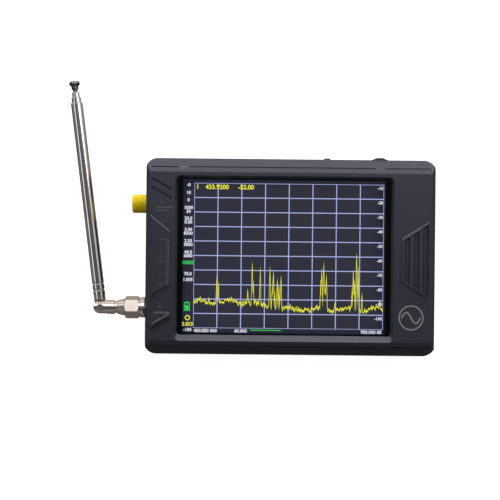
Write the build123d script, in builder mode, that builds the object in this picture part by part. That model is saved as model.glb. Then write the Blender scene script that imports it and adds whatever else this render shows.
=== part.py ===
"""Handheld spectrum analyser with a touch screen, two coaxial jacks and a folding telescopic antenna.

The instrument lies on its back. The origin is the middle of the back's flat face, +X points to the
right of the screen, +Y to its top edge and +Z out of the screen. Lengths are in millimetres.
"""

import os
from math import cos, radians, sin, sqrt

from build123d import *

os.makedirs("parts", exist_ok=True)

# ---------------------------------------------------------------- driving dimensions: the case
case_width = 115.5
case_height = 79.0
case_depth = 21.0
split_z = 11.0  # where the two shells meet, and the height of both coaxial axes
wall = 2.0
corner_radius = 4.2
front_slope = 3.9  # seen from the front, the band from the outline to the shadow groove
front_slope_drop = 6.2
shoulder_slope = 2.0  # from the shadow groove to the flat face
shoulder_drop = 0.9
back_slope = 4.0
back_slope_drop = 4.5
side_bevel = 1.5
side_bevel_drop = 2.2
edge_round = 0.9  # where the case's long slopes and faces meet
end_round = 0.6  # the same at its two ends; equal radii don't intersect cleanly
relief = 0.45  # how far the mouldings on the front stand proud
relief_bevel = 0.35
groove_width = 0.45
groove_depth = 0.6
fit = 0.3  # clearance round a piece that drops into its place
seam_height = 0.3  # the line between the shells: how far it runs into each of them
seam_depth = 0.4
screw_bite = 0.02  # between a screw's thread and the post it cuts into
slide_fit = 0.25  # clearance on each side of a piece that moves in a slot

# the screen and its window
window_width = 85.2
window_height = 62.5
window_x = -2.5
window_radius = 1.2
bezel_slope = 0.9
bezel_sill = 2.4  # the lower bezel is wider than the other three
lcd_width = 91.0
lcd_height = 66.0
lcd_x = -0.9
lcd_thickness = 3.5
touch_thickness = 1.1
gasket_thickness = 0.5
frame_rib = 1.0
frame_rib_drop = 4.2

# the main board and what it carries
board_thickness = 1.6
contact_radius = 0.4
board_gap = 0.15  # from the jacks' flanges
board_right = 53.4
board_half_height = 36.6
board_notch_margin = 0.9
board_post_x = 43.9
board_post_y = 29.0
board_post_radius = 2.4
board_screw_radius = 0.9
board_screw_length = 5.0
board_screw_head_radius = 1.8
board_screw_head_height = 1.2

# the case screws
case_screw_x = 50.8
case_screw_y = 31.0
case_screw_radius = 1.2
case_screw_head_radius = 2.3
case_screw_head_height = 1.6
case_screw_recess = 2.4
case_screw_length = 14.0
case_post_radius = 3.2
screw_seat = 0.03  # between a screw's head and its seat

# the battery
battery_width = 62.0
battery_height = 40.0
battery_thickness = 4.9
battery_x = 4.0
battery_y = -9.0
battery_tape_thickness = 0.3

# sockets and switches on the upper edge
usb_x = -2.0
usb_width = 8.94
usb_height = 3.26
usb_length = 7.4
usb_shell = 0.3
audio_x = -38.0
audio_body_width = 6.6
audio_body_height = 5.0
audio_body_length = 11.5
audio_nose_radius = 2.9
audio_bore_radius = 1.8
card_x = -20.5
card_socket_width = 14.2
card_socket_length = 14.5
card_socket_height = 1.9
card_slot_width = 11.3
card_slot_height = 1.0
power_x = 16.1
power_travel = 2.0
power_knob_width = 2.5
power_knob_height = 1.7
power_knob_proud = 1.0
jog_x = 35.9
jog_disc_radius = 3.0
jog_disc_thickness = 1.8
jog_lug_width = 2.6
jog_lug_reach = 1.5  # how far the lug stands out of the disc
jog_proud = 1.35
jog_pin_radius = 0.75

# the coaxial jacks on the left edge
jack_y = 21.0
jack_thread_radius = 3.175
jack_thread_pitch = 0.7056
jack_thread_depth = 0.22
jack_proud = 5.2
jack_flange = 6.35
jack_flange_thickness = 1.55
jack_mouth_radius = 2.32
jack_mouth_depth = 2.0
jack_insulator_radius = 2.05
jack_socket_bore = 0.5
jack_hole_fit = 0.15
jack_relief_radius = 5.3
jack_relief_depth = 0.7
cap_wall = 0.5
cap_end = 0.8
cap_bead = 0.1
cap_gap = 0.3  # between the cap's mouth and the floor of the round relief

# the antenna's plug
nut_wall = 0.825  # from the jack's thread to the hexagon's flats
nut_hex_length = 5.6
nut_collar_wall = 0.975
nut_collar_length = 2.6
nut_turn = 12.0
nut_gap = 0.45  # between the nut's collar and the case
running_fit = 0.06
barrel_radius = 2.85
barrel_flare_radius = 3.4
barrel_flare_length = 3.2
barrel_neck_radius = 2.45
barrel_neck_length = 0.8
barrel_length = 8.6
fork_slot = 2.1
fork_end_radius = 2.7
pivot_radius = 0.75
pivot_head_radius = 1.35
pivot_head_height = 0.35
pivot_seat = 2.4  # height of the rivet's seats above and below the pivot

# the antenna's rod
rod_lean = 7.35  # degrees from +Y towards -X when at rest
rod_collar_radius = 2.3
rod_collar_start = 2.98
rod_collar_length = 1.95
tongue_radius = 2.2
tongue_gap = 0.5  # between the tongue's round end and the bottom of the fork's slot
tube_wall = 0.25
tube_fit = 0.06
tube_radii = (2.4, 1.95, 1.5)
tip_rod_radius = 1.0
tube_tops = (83.5, 85.7, 87.8)  # distances from the pivot with the antenna pushed in
tube_feet = (5.1, 9.0, 9.8)
tip_rod_foot = 10.6
knob_radius = 2.2
knob_start = 89.4
knob_top = 92.4

# ---------------------------------------------------------------- places worked out from those
half_width = case_width / 2
half_height = case_height / 2
ceiling = case_depth - wall
front_flat = half_height - front_slope - shoulder_slope
slope_foot = case_depth - shoulder_drop - front_slope_drop
board_top = split_z - contact_radius
board_bottom = board_top - board_thickness
board_notch_x = case_screw_x - case_post_radius - board_notch_margin
board_notch_y = case_screw_y - case_post_radius - board_notch_margin
window_left = window_x - window_width / 2
window_right = window_x + window_width / 2
touch_top = ceiling - gasket_thickness
lcd_top = touch_top - touch_thickness
lcd_bottom = lcd_top - lcd_thickness
upper_wall_inside = half_height - wall
usb_z = board_bottom - usb_height / 2
audio_z = board_bottom - audio_body_height / 2
card_z = board_bottom - card_socket_height / 2
power_z = board_bottom - 1.9
jog_z = board_bottom - 2.8
jog_y = half_height + jog_proud - jog_disc_radius - jog_lug_reach
jack_face = -(half_width + jack_proud)
jack_flange_outer = -(half_width - wall) + 0.05
jack_flange_inner = jack_flange_outer + jack_flange_thickness
board_left = jack_flange_inner + board_gap
nut_across_flats = 2 * (jack_thread_radius + nut_wall)
nut_collar_radius = jack_thread_radius + nut_collar_wall
nut_right = -(half_width + nut_gap)
nut_shoulder = nut_right - nut_collar_length
nut_left = nut_shoulder - nut_hex_length
barrel_right = nut_left - 0.1
neck_right = barrel_right - barrel_flare_length
neck_left = neck_right - barrel_neck_length
pivot_x = neck_left - barrel_length + fork_end_radius
rf_y = -jack_y
cal_y = jack_y


# ---------------------------------------------------------------- shared forms
def write(piece, name):
    """Label a finished piece and write it as one STEP file."""
    piece.label = name
    export_step(piece, f"parts/{name}.step")


def case_section(plane, side, inset, rounding):
    """A symmetrical section from the points of one side: rounded, or moved in by inset."""
    with BuildSketch(plane) as section:
        with BuildLine():
            Polyline(*side, *[(-across, height) for across, height in reversed(side)], close=True)
        make_face()
        if inset:
            offset(amount=-inset, kind=Kind.INTERSECTION, mode=Mode.REPLACE)
        else:
            fillet(section.vertices(), radius=rounding)
    return section.sketch


def case_block(inset, bottom, top):
    """The case's outer form moved in by inset, between two heights."""
    upper_and_lower = [
        (half_height - back_slope, 0),
        (half_height, back_slope_drop),
        (half_height, slope_foot),
        (half_height - front_slope, case_depth - shoulder_drop),
        (front_flat, case_depth),
    ]
    left_and_right = [
        (half_width - side_bevel, 0),
        (half_width, side_bevel_drop),
        (half_width, case_depth - side_bevel_drop),
        (half_width - side_bevel, case_depth),
    ]
    along_x = case_section(Plane.YZ, upper_and_lower, inset, edge_round)
    along_y = case_section(Plane.XZ, left_and_right, inset, end_round)
    with BuildPart() as block:
        with BuildSketch(Plane.XY.offset(bottom)):
            RectangleRounded(case_width - 2 * inset, case_height - 2 * inset, corner_radius - inset)
        extrude(amount=top - bottom)
        extrude(along_x, amount=case_width, both=True, mode=Mode.INTERSECT)
        extrude(along_y, amount=case_height, both=True, mode=Mode.INTERSECT)
    return block.part


def seam_ring(bottom):
    """What the line between the shells takes off one of them, from a height up."""
    with BuildPart() as ring:
        with Locations((0, 0, bottom)):
            Box(
                2 * case_width,
                2 * case_height,
                seam_height,
                align=(Align.CENTER, Align.CENTER, Align.MIN),
            )
        add(case_block(seam_depth, bottom - 1, bottom + seam_height + 1), mode=Mode.SUBTRACT)
    return ring.part


def half_section(frame, outline):
    """The half section of a turned piece: points as (radius, distance along the frame's z axis)."""
    with BuildSketch(Plane(frame.origin, x_dir=frame.x_dir, z_dir=-frame.y_dir)) as section:
        with BuildLine():
            Polyline(*outline, close=True)
        make_face()
    return section.sketch


def polygon(plane, *points):
    """A flat face on a plane with straight edges through the points."""
    with BuildSketch(plane) as flat:
        with BuildLine():
            Polyline(*points, close=True)
        make_face()
    return flat.sketch


def stroke(plane, start, end, width):
    """A straight bar of a given width between two points on a plane, with square ends."""
    run = Vector(*end) - Vector(*start)
    side = Vector(-run.Y, run.X).normalized() * (width / 2)
    first, last = Vector(*start), Vector(*end)
    corners = [first + side, first - side, last - side, last + side]
    return polygon(plane, *[(p.X, p.Y) for p in corners])


def raised_plate(plane, *points):
    """A low plate on a plane, with a bevelled rim. Its points run anticlockwise."""
    with BuildPart() as plate:
        extrude(polygon(plane, *points), amount=relief)
        chamfer(plate.faces().sort_by(Axis.Z)[-1].edges(), length=relief_bevel)
    return plate.part


# ---------------------------------------------------------------- front shell
front_plane = Plane.XY.offset(case_depth)
left_side = Plane((-half_width, 0, split_z), x_dir=(0, 1, 0), z_dir=(1, 0, 0))
left_rail = -half_width + side_bevel + 0.9
panel_right = window_left - 2.9
panel_corner_left = -half_width + side_bevel + 0.5
groove_right = panel_right + 0.4
panel_left_span = (-16.2, 16.4)
panel_right_span = (-11.4, 9.9)
ridge_left_span = (-28.6, -27.0)
ridge_right_span = (-24.0, -22.4)
corner_grooves = ((30.6, 26.2), (27.1, 22.7), (-29.9, -25.3))  # heights of their two ends
corner_groove_width = 1.5
corner_groove_depth = 0.5
corner_groove_taper = 35
grip_left = window_right + 3.9
grip_right = half_width - side_bevel - 1.2
grip_left_span = (-9.6, 7.6)
grip_right_span = (-16.6, 14.6)
grip_groove_pitch = 3.65
grip_groove_width = 2.1
grip_groove_depth = 0.35
grip_groove_taper = 28
grip_groove_span = (-8.2, 6.2)  # at the grip's left end, before the grooves grow
grip_groove_growth = 0.7
grip_groove_slant = 1.5
grip_margin = 1.3
grip_grooves = 3
seam_break_left = (-44.6, -40.6)  # where the shadow groove stops for a bridge
seam_break_right = (jog_x - 2.1, jog_x + 1.3)
seam_end = half_width - 2.2
stud_x = -half_width + 1.1
stud_y = rf_y - 0.8
stud_radius = 2.0
stud_height = 2.9
stud_top = case_depth - 1.0
stud_bevel = 0.5
brow_half_width = 3.2
brow_flat = 1.3
brow_height = 0.85
brow_thickness = 2.6
brow_foot = split_z + 0.6
brow_root = 0.5
window_lip = 0.35  # the upright part of the window's edge, below its slope
screen_opening_part = 0.62  # how much of the rib frame's ends is open
ribbon_gap = 10.0
overcut = 0.5  # how far a cut runs past the face it opens

panel = raised_plate(
    front_plane,
    (panel_corner_left, panel_left_span[1]),
    (panel_corner_left, panel_left_span[0]),
    (panel_right, panel_right_span[0]),
    (panel_right, panel_right_span[1]),
)
grip = raised_plate(
    front_plane,
    (grip_left, grip_left_span[1]),
    (grip_left, grip_left_span[0]),
    (grip_right, grip_right_span[0]),
    (grip_right, grip_right_span[1]),
)
ridge = raised_plate(
    front_plane,
    (left_rail, ridge_left_span[1]),
    (left_rail, ridge_left_span[0]),
    (groove_right, ridge_right_span[0]),
    (groove_right, ridge_right_span[1]),
)

with BuildPart() as front_shell:
    add(case_block(0, split_z, case_depth))
    add(case_block(wall, split_z - 1, ceiling), mode=Mode.SUBTRACT)

    # rib frame that locates the screen, open where the ribbons leave it
    with BuildSketch(Plane.XY.offset(ceiling - frame_rib_drop)):
        with Locations((lcd_x, 0)):
            Rectangle(lcd_width + 2 * (fit + frame_rib), lcd_height + 2 * (fit + frame_rib))
            Rectangle(lcd_width + 2 * fit, lcd_height + 2 * fit, mode=Mode.SUBTRACT)
            Rectangle(
                lcd_width + 2 * ribbon_gap,
                lcd_height * screen_opening_part,
                mode=Mode.SUBTRACT,
            )
    extrude(amount=frame_rib_drop + 0.2)

    # posts that take the case screws
    with BuildSketch(Plane.XY.offset(split_z)):
        with GridLocations(2 * case_screw_x, 2 * case_screw_y, 2, 2):
            Circle(case_post_radius)
    extrude(until=Until.NEXT)
    with Locations(Plane.XY.offset(split_z)):
        with GridLocations(2 * case_screw_x, 2 * case_screw_y, 2, 2):
            Cylinder(
                case_screw_radius + screw_bite,
                case_screw_length - (split_z - case_screw_recess) + 1.0,
                align=(Align.CENTER, Align.CENTER, Align.MIN),
                mode=Mode.SUBTRACT,
            )

    # window, with a sloped bezel that is widest along the lower edge
    with BuildSketch(Plane.XY.offset(ceiling - overcut)):
        with Locations((window_x, 0)):
            RectangleRounded(window_width, window_height, window_radius)
    extrude(amount=wall + 2 * overcut, mode=Mode.SUBTRACT)
    with BuildSketch(front_plane):
        with Locations((window_x, (bezel_slope - bezel_sill) / 2)):
            RectangleRounded(
                window_width + 2 * bezel_slope,
                window_height + bezel_slope + bezel_sill,
                window_radius + bezel_slope,
            )
    with BuildSketch(Plane.XY.offset(ceiling + window_lip)):
        with Locations((window_x, 0)):
            RectangleRounded(window_width, window_height, window_radius)
    loft(mode=Mode.SUBTRACT)

    # raised panel on the left margin
    add(panel)

    # raised grip on the right margin, with upright grooves
    add(grip)
    for index in range(grip_grooves):
        near_x = grip_left + grip_margin + index * grip_groove_pitch
        far_x = near_x + grip_groove_width
        rise = grip_groove_growth * (near_x + grip_groove_width / 2 - grip_left)
        low, high = grip_groove_span[0] - rise, grip_groove_span[1] + rise
        groove = polygon(
            front_plane.offset(relief),
            (near_x, high - grip_groove_slant * 2 / 3),
            (far_x, high + grip_groove_slant / 3),
            (far_x, low - grip_groove_slant / 3),
            (near_x, low + grip_groove_slant * 2 / 3),
        )
        extrude(
            groove,
            amount=-(relief + grip_groove_depth),
            taper=grip_groove_taper,
            mode=Mode.SUBTRACT,
        )

    # slanted grooves at the two left corners
    for left_end, right_end in corner_grooves:
        extrude(
            stroke(
                front_plane,
                (left_rail, left_end),
                (groove_right, right_end),
                corner_groove_width,
            ),
            amount=-corner_groove_depth,
            taper=corner_groove_taper,
            mode=Mode.SUBTRACT,
        )
    add(ridge)

    # round index stud beside the lower jack
    with Locations((stud_x, stud_y, stud_top - stud_bevel)):
        Cylinder(stud_radius, stud_height, align=(Align.CENTER, Align.CENTER, Align.MAX))
        Cone(
            stud_radius,
            stud_radius - stud_bevel,
            stud_bevel,
            align=(Align.CENTER, Align.CENTER, Align.MIN),
        )

    # shadow grooves along the upper and lower shoulders, broken by bridges
    for side in (1, -1):
        for start, end in (
            (-seam_end, seam_break_left[0]),
            (seam_break_left[1], seam_break_right[0]),
            (seam_break_right[1], seam_end),
        ):
            with BuildSketch(Plane.XY.offset(case_depth)):
                with Locations(((start + end) / 2, side * (half_height - front_slope))):
                    Rectangle(end - start, groove_width)
            extrude(amount=-(shoulder_drop + groove_depth), mode=Mode.SUBTRACT)

    # brow above the jog lever
    brow = polygon(
        Plane.XY.offset(brow_foot),
        (jog_x - brow_half_width, half_height - brow_root),
        (jog_x - brow_half_width, half_height),
        (jog_x - brow_flat, half_height + brow_height),
        (jog_x + brow_flat, half_height + brow_height),
        (jog_x + brow_half_width, half_height),
        (jog_x + brow_half_width, half_height - brow_root),
    )
    extrude(brow, amount=brow_thickness)

    # openings for the coaxial jacks, with a round relief so that a nut can be turned
    with Locations(left_side):
        with Locations((cal_y, 0), (rf_y, 0)):
            Cylinder(
                jack_thread_radius + jack_hole_fit,
                4 * wall,
                mode=Mode.SUBTRACT,
            )
            Cylinder(jack_relief_radius, 2 * jack_relief_depth, mode=Mode.SUBTRACT)
    add(seam_ring(split_z), mode=Mode.SUBTRACT)
write(front_shell.part, "front_shell")

# ---------------------------------------------------------------- rear shell
usb_opening_fit = 0.3
slot_height_power = power_knob_height + 2 * slide_fit
slot_width_power = power_knob_width + power_travel + 2 * slide_fit
jog_slot_width = 2 * jog_disc_radius + 2 * slide_fit
jog_slot_height = jog_disc_thickness + 2 * slide_fit
back_grip_start = 13.5  # the outermost groove's distance from the end of the case
back_grip_pitch = 2.4
back_grips = 6
back_grip_half_length = 19.0
back_grip_width = 1.1
back_grip_depth = 0.5
back_grip_taper = 30
screw_clearance = 0.2
card_opening_margin = (2.2, 1.2)
edge_opening_depth = wall + 2.6
battery_rib_height = 3.2
battery_rib_opening = (0.7, 0.5)  # parts of the battery's width and height left open
battery_rib_overcut = 8.0
post_foot = wall - 0.3

with BuildPart() as rear_shell:
    add(case_block(0, 0, split_z))
    add(case_block(wall, wall, split_z + 1), mode=Mode.SUBTRACT)

    # posts for the case screws and for the board
    with BuildSketch(Plane.XY.offset(post_foot)):
        with GridLocations(2 * case_screw_x, 2 * case_screw_y, 2, 2):
            Circle(case_post_radius)
    extrude(amount=split_z - post_foot)
    with BuildSketch(Plane.XY.offset(post_foot)):
        with GridLocations(2 * board_post_x, 2 * board_post_y, 2, 2):
            Circle(board_post_radius)
    extrude(amount=board_bottom - post_foot)
    with Locations(Plane.XY.offset(board_bottom)):
        with GridLocations(2 * board_post_x, 2 * board_post_y, 2, 2):
            Hole(board_screw_radius + screw_bite, depth=board_screw_length)
    with Locations(Plane.XY):
        with GridLocations(2 * case_screw_x, 2 * case_screw_y, 2, 2):
            Cylinder(
                case_screw_radius + screw_clearance,
                3 * case_depth,
                mode=Mode.SUBTRACT,
            )
            Cylinder(
                case_screw_head_radius + fit,
                2 * case_screw_recess,
                mode=Mode.SUBTRACT,
            )

    # low walls that hold the battery
    with BuildSketch(Plane.XY.offset(post_foot)):
        with Locations((battery_x, battery_y)):
            Rectangle(battery_width + 2 * (fit + frame_rib), battery_height + 2 * (fit + frame_rib))
            Rectangle(battery_width + 2 * fit, battery_height + 2 * fit, mode=Mode.SUBTRACT)
            Rectangle(
                battery_width * battery_rib_opening[0],
                battery_height + battery_rib_overcut,
                mode=Mode.SUBTRACT,
            )
            Rectangle(
                battery_width + battery_rib_overcut,
                battery_height * battery_rib_opening[1],
                mode=Mode.SUBTRACT,
            )
    extrude(amount=battery_rib_height)

    # openings in the upper edge, each on a plane that looks out along +Y
    with BuildSketch(Plane((0, half_height + 1, 0), x_dir=(-1, 0, 0), z_dir=(0, 1, 0))):
        with Locations((-usb_x, usb_z)):
            SlotOverall(usb_width + 2 * usb_opening_fit, usb_height + 2 * usb_opening_fit)
        with Locations((-audio_x, audio_z)):
            Circle(audio_nose_radius + usb_opening_fit)
        with Locations((-card_x, card_z)):
            SlotOverall(
                card_slot_width + card_opening_margin[0],
                card_slot_height + card_opening_margin[1],
            )
        with Locations((-power_x, power_z)):
            Rectangle(slot_width_power, slot_height_power)
        with Locations((-jog_x, jog_z)):
            Rectangle(jog_slot_width, jog_slot_height)
    extrude(amount=-edge_opening_depth, mode=Mode.SUBTRACT)

    # openings for the coaxial jacks
    with Locations(left_side):
        with Locations((cal_y, 0), (rf_y, 0)):
            Cylinder(
                jack_thread_radius + jack_hole_fit,
                4 * wall,
                mode=Mode.SUBTRACT,
            )
            Cylinder(jack_relief_radius, 2 * jack_relief_depth, mode=Mode.SUBTRACT)

    # grip grooves across the back, near both ends
    for side in (1, -1):
        for index in range(back_grips):
            groove_x = side * (half_width - back_grip_start - index * back_grip_pitch)
            extrude(
                stroke(
                    Plane.XY,
                    (groove_x, -back_grip_half_length),
                    (groove_x, back_grip_half_length),
                    back_grip_width,
                ),
                amount=back_grip_depth,
                taper=back_grip_taper,
                mode=Mode.SUBTRACT,
            )
    add(seam_ring(split_z - seam_height), mode=Mode.SUBTRACT)
write(rear_shell.part, "rear_shell")

# ---------------------------------------------------------------- screws
case_screw_cross = (2.6, 0.55, 1.4)  # length, width and twice the depth of its two slots
board_screw_cross = (2.1, 0.45, 1.2)
board_screw_spare = 0.6  # from the screw's end to the foot of its hole
with BuildPart() as case_screws:
    screw_foot = case_screw_recess - case_screw_head_height - screw_seat
    for place in GridLocations(2 * case_screw_x, 2 * case_screw_y, 2, 2):
        head_centre = place.position
        with Locations(Plane((head_centre.X, head_centre.Y, screw_foot))):
            Cylinder(
                case_screw_head_radius,
                case_screw_head_height,
                align=(Align.CENTER, Align.CENTER, Align.MIN),
            )
            Cylinder(
                case_screw_radius,
                case_screw_length,
                align=(Align.CENTER, Align.CENTER, Align.MIN),
            )
            for turn in (0, 90):
                Box(*case_screw_cross, rotation=(0, 0, turn), mode=Mode.SUBTRACT)
write(case_screws.part, "case_screws")

with BuildPart() as board_screws:
    for place in GridLocations(2 * board_post_x, 2 * board_post_y, 2, 2):
        seat = Plane((place.position.X, place.position.Y, board_top + screw_seat))
        with Locations(seat):
            Cylinder(
                board_screw_head_radius,
                board_screw_head_height,
                align=(Align.CENTER, Align.CENTER, Align.MIN),
            )
            Cylinder(
                board_screw_radius,
                board_thickness + board_screw_length - board_screw_spare,
                align=(Align.CENTER, Align.CENTER, Align.MAX),
            )
            with Locations((0, 0, board_screw_head_height)):
                for turn in (0, 90):
                    Box(*board_screw_cross, rotation=(0, 0, turn), mode=Mode.SUBTRACT)
write(board_screws.part, "board_screws")

# ---------------------------------------------------------------- screen
gasket_window_fit = 0.3
touch_corner = 0.8
lcd_frame_fit = 0.3
glass_fit = 0.1
pad_offset = 24.0
pad_size = (7, 50)
with BuildPart() as screen_gasket:
    with BuildSketch(Plane.XY.offset(touch_top)):
        with Locations((lcd_x, 0)):
            Rectangle(lcd_width, lcd_height)
        with Locations((window_x, 0)):
            Rectangle(
                window_width + 2 * gasket_window_fit,
                window_height + 2 * gasket_window_fit,
                mode=Mode.SUBTRACT,
            )
    extrude(amount=gasket_thickness)
write(screen_gasket.part, "screen_gasket")

with BuildPart() as touch_panel:
    with BuildSketch(Plane.XY.offset(lcd_top)):
        with Locations((lcd_x, 0)):
            RectangleRounded(lcd_width, lcd_height, touch_corner)
    extrude(amount=touch_thickness)
write(touch_panel.part, "touch_panel")

glass_width = 86.5
glass_height = 63.4
glass_thickness = 1.3
with BuildPart() as lcd_frame:
    with BuildSketch(Plane.XY.offset(lcd_bottom)):
        with Locations((lcd_x, 0)):
            Rectangle(lcd_width - 2 * lcd_frame_fit, lcd_height - 2 * lcd_frame_fit)
    extrude(amount=lcd_thickness)
    with BuildSketch(Plane.XY.offset(lcd_top - glass_thickness)):
        with Locations((window_x, 0)):
            Rectangle(glass_width + 2 * glass_fit, glass_height + 2 * glass_fit)
    extrude(amount=glass_thickness, mode=Mode.SUBTRACT)
write(lcd_frame.part, "lcd_frame")

with BuildPart() as lcd_glass:
    with BuildSketch(Plane.XY.offset(lcd_top - glass_thickness)):
        with Locations((window_x, 0)):
            Rectangle(glass_width, glass_height)
    extrude(amount=glass_thickness)
write(lcd_glass.part, "lcd_glass")

with BuildPart() as screen_pads:
    with BuildSketch(Plane.XY.offset(board_top)):
        with Locations((lcd_x - pad_offset, 0), (lcd_x + pad_offset, 0)):
            Rectangle(*pad_size)
    extrude(amount=lcd_bottom - board_top)
write(screen_pads.part, "screen_pads")

ribbon_thickness = 0.2
ribbon_width = 18.0
ribbon_reach = 47.6
ribbon_inner = 33.0
ribbon_bend = 1.0
ribbon_plug_x = ribbon_inner + 5.6
ribbon_plug_z = board_top + 0.75
ribbon_socket_x = ribbon_inner + 3.4
ribbon_socket_size = (4.4, ribbon_width + 3)
ribbon_socket_height = 1.4
ribbon_slot = (2.4, ribbon_width + 0.4, ribbon_thickness + 0.1)
with BuildPart() as lcd_ribbon:
    with BuildSketch(Plane.XZ.offset(ribbon_width / 2)):
        with BuildLine():
            FilletPolyline(
                (ribbon_inner, lcd_bottom - ribbon_thickness / 2),
                (ribbon_reach, lcd_bottom - ribbon_thickness / 2),
                (ribbon_reach, ribbon_plug_z),
                (ribbon_plug_x, ribbon_plug_z),
                radius=ribbon_bend,
            )
            offset(amount=ribbon_thickness / 2, kind=Kind.INTERSECTION)
        make_face()
    extrude(amount=-ribbon_width)
write(lcd_ribbon.part, "lcd_ribbon")

with BuildPart() as ribbon_socket:
    with BuildSketch(Plane.XY.offset(board_top)):
        with Locations((ribbon_socket_x, 0)):
            Rectangle(*ribbon_socket_size)
    extrude(amount=ribbon_socket_height)
    with Locations((ribbon_plug_x - 1.0, 0, ribbon_plug_z)):
        Box(*ribbon_slot, mode=Mode.SUBTRACT)
write(ribbon_socket.part, "ribbon_socket")

# ---------------------------------------------------------------- main board
notch_size = 20.0
screw_hole_fit = 0.2
with BuildPart() as main_board:
    with BuildSketch(Plane.XY.offset(board_bottom)):
        board_centre = (board_left + board_right) / 2
        with Locations((board_centre, 0)):
            Rectangle(board_right - board_left, 2 * board_half_height)
        for corner_x in (-1, 1):
            for corner_y in (-1, 1):
                notch = (
                    corner_x * (board_notch_x + notch_size / 2),
                    corner_y * (board_notch_y + notch_size / 2),
                )
                with Locations(notch):
                    Rectangle(notch_size, notch_size, mode=Mode.SUBTRACT)
        with GridLocations(2 * board_post_x, 2 * board_post_y, 2, 2):
            Circle(board_screw_radius + screw_hole_fit, mode=Mode.SUBTRACT)
    extrude(amount=board_thickness)
write(main_board.part, "main_board")

shield_height = 2.4
shield_lid = 0.25
shield_size = (15.0, 20.0)
shield_x = -38.5
shield_rows = (12.5, -12.5)
shield_sheet = 0.25
shield_lid_overhang = 0.05
with BuildPart() as shield_fences:
    with BuildSketch(Plane.XY.offset(board_bottom)):
        with Locations(*[(shield_x, row) for row in shield_rows]):
            Rectangle(*shield_size)
            Rectangle(*[side - 2 * shield_sheet for side in shield_size], mode=Mode.SUBTRACT)
    extrude(amount=-(shield_height - shield_lid))
write(shield_fences.part, "shield_fences")

with BuildPart() as shield_lids:
    with BuildSketch(Plane.XY.offset(board_bottom - shield_height)):
        with Locations(*[(shield_x, row) for row in shield_rows]):
            Rectangle(*[side + 2 * shield_lid_overhang for side in shield_size])
    extrude(amount=shield_lid)
write(shield_lids.part, "shield_lids")

chip_height = 0.9
rf_chip_size = 4.0
rf_chip_step = 3.2
processor_place = (8, -8)
processor_size = 10.0
processor_height = 1.4
power_chip_places = ((-6, 14), (4, 16), (12, 14))
power_chip_size = 3.2
with BuildPart() as rf_chips:
    with BuildSketch(Plane.XY.offset(board_bottom)):
        for row in shield_rows:
            with Locations((shield_x - rf_chip_step, row), (shield_x + rf_chip_step, row)):
                Rectangle(rf_chip_size, rf_chip_size)
    extrude(amount=-chip_height)
write(rf_chips.part, "rf_chips")

with BuildPart() as processor:
    with BuildSketch(Plane.XY.offset(board_top)):
        with Locations(processor_place):
            Rectangle(processor_size, processor_size)
    extrude(amount=processor_height)
write(processor.part, "processor")

with BuildPart() as power_chips:
    with BuildSketch(Plane.XY.offset(board_top)):
        with Locations(*power_chip_places):
            Rectangle(power_chip_size, power_chip_size)
    extrude(amount=chip_height)
write(power_chips.part, "power_chips")

# ---------------------------------------------------------------- battery
battery_bottom = wall + battery_tape_thickness
battery_corner = 1.5
battery_edge = 1.0
tape_offset = 18.0
tape_width = 12.0
with BuildPart() as battery_tape:
    with BuildSketch(Plane.XY.offset(wall)):
        with Locations((battery_x - tape_offset, battery_y), (battery_x + tape_offset, battery_y)):
            Rectangle(tape_width, battery_height - 8)
    extrude(amount=battery_tape_thickness)
write(battery_tape.part, "battery_tape")

with BuildPart() as battery:
    with BuildSketch(Plane.XY.offset(battery_bottom)):
        with Locations((battery_x, battery_y)):
            RectangleRounded(battery_width, battery_height, battery_corner)
    extrude(amount=battery_thickness)
    fillet(battery.edges().filter_by(Axis.Z, reverse=True), radius=battery_edge)
write(battery.part, "battery")

lead_radius = 0.55
lead_spacing = 2.0
lead_x = 22.0
lead_start_y = battery_y + battery_height / 2
lead_z = battery_bottom + battery_thickness / 2
plug_front_y = 21.0
plug_z = board_bottom - 2.2
battery_plug_size = (5.6, 4.2, 2.6)
battery_plug_fit = 0.05
battery_socket_size = (7.6, 5.4, 3.9)
with BuildPart() as battery_leads:
    for index in (-1, 1):
        x = lead_x + index * lead_spacing / 2
        with BuildLine() as lead_line:
            FilletPolyline(
                (x, lead_start_y, lead_z),
                (x, lead_start_y + 4.0, lead_z),
                (x, lead_start_y + 7.0, plug_z),
                (x, plug_front_y, plug_z),
                radius=2.0,
            )
        with BuildSketch(Plane(lead_line.line @ 0, z_dir=lead_line.line % 0)):
            Circle(lead_radius)
        sweep(path=lead_line.line)
write(battery_leads.part, "battery_leads")

with BuildPart() as battery_plug:
    with Locations((lead_x, plug_front_y, plug_z)):
        Box(*battery_plug_size, align=(Align.CENTER, Align.MIN, Align.CENTER))
write(battery_plug.part, "battery_plug")

with BuildPart() as battery_socket:
    with Locations((lead_x, plug_front_y + 1.0, board_bottom)):
        Box(*battery_socket_size, align=(Align.CENTER, Align.MIN, Align.MAX))
    with Locations((lead_x, plug_front_y, plug_z)):
        Box(
            *[side + 2 * battery_plug_fit for side in battery_plug_size],
            align=(Align.CENTER, Align.MIN, Align.CENTER),
            mode=Mode.SUBTRACT,
        )
write(battery_socket.part, "battery_socket")

# ---------------------------------------------------------------- sockets on the upper edge
usb_front = half_height - 0.35
usb_back_wall = 0.8
usb_tongue_size = (6.7, 0.7)
usb_tongue_set_back = 0.9
edge_out = Plane((0, usb_front, 0), x_dir=(-1, 0, 0), z_dir=(0, 1, 0))
with BuildPart() as usb_shell_part:
    with BuildSketch(edge_out):
        with Locations((-usb_x, usb_z)):
            SlotOverall(usb_width, usb_height)
    extrude(amount=-usb_length)
    with BuildSketch(edge_out):
        with Locations((-usb_x, usb_z)):
            SlotOverall(usb_width - 2 * usb_shell, usb_height - 2 * usb_shell)
    extrude(amount=-(usb_length - usb_back_wall), mode=Mode.SUBTRACT)
write(usb_shell_part.part, "usb_socket")

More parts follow.
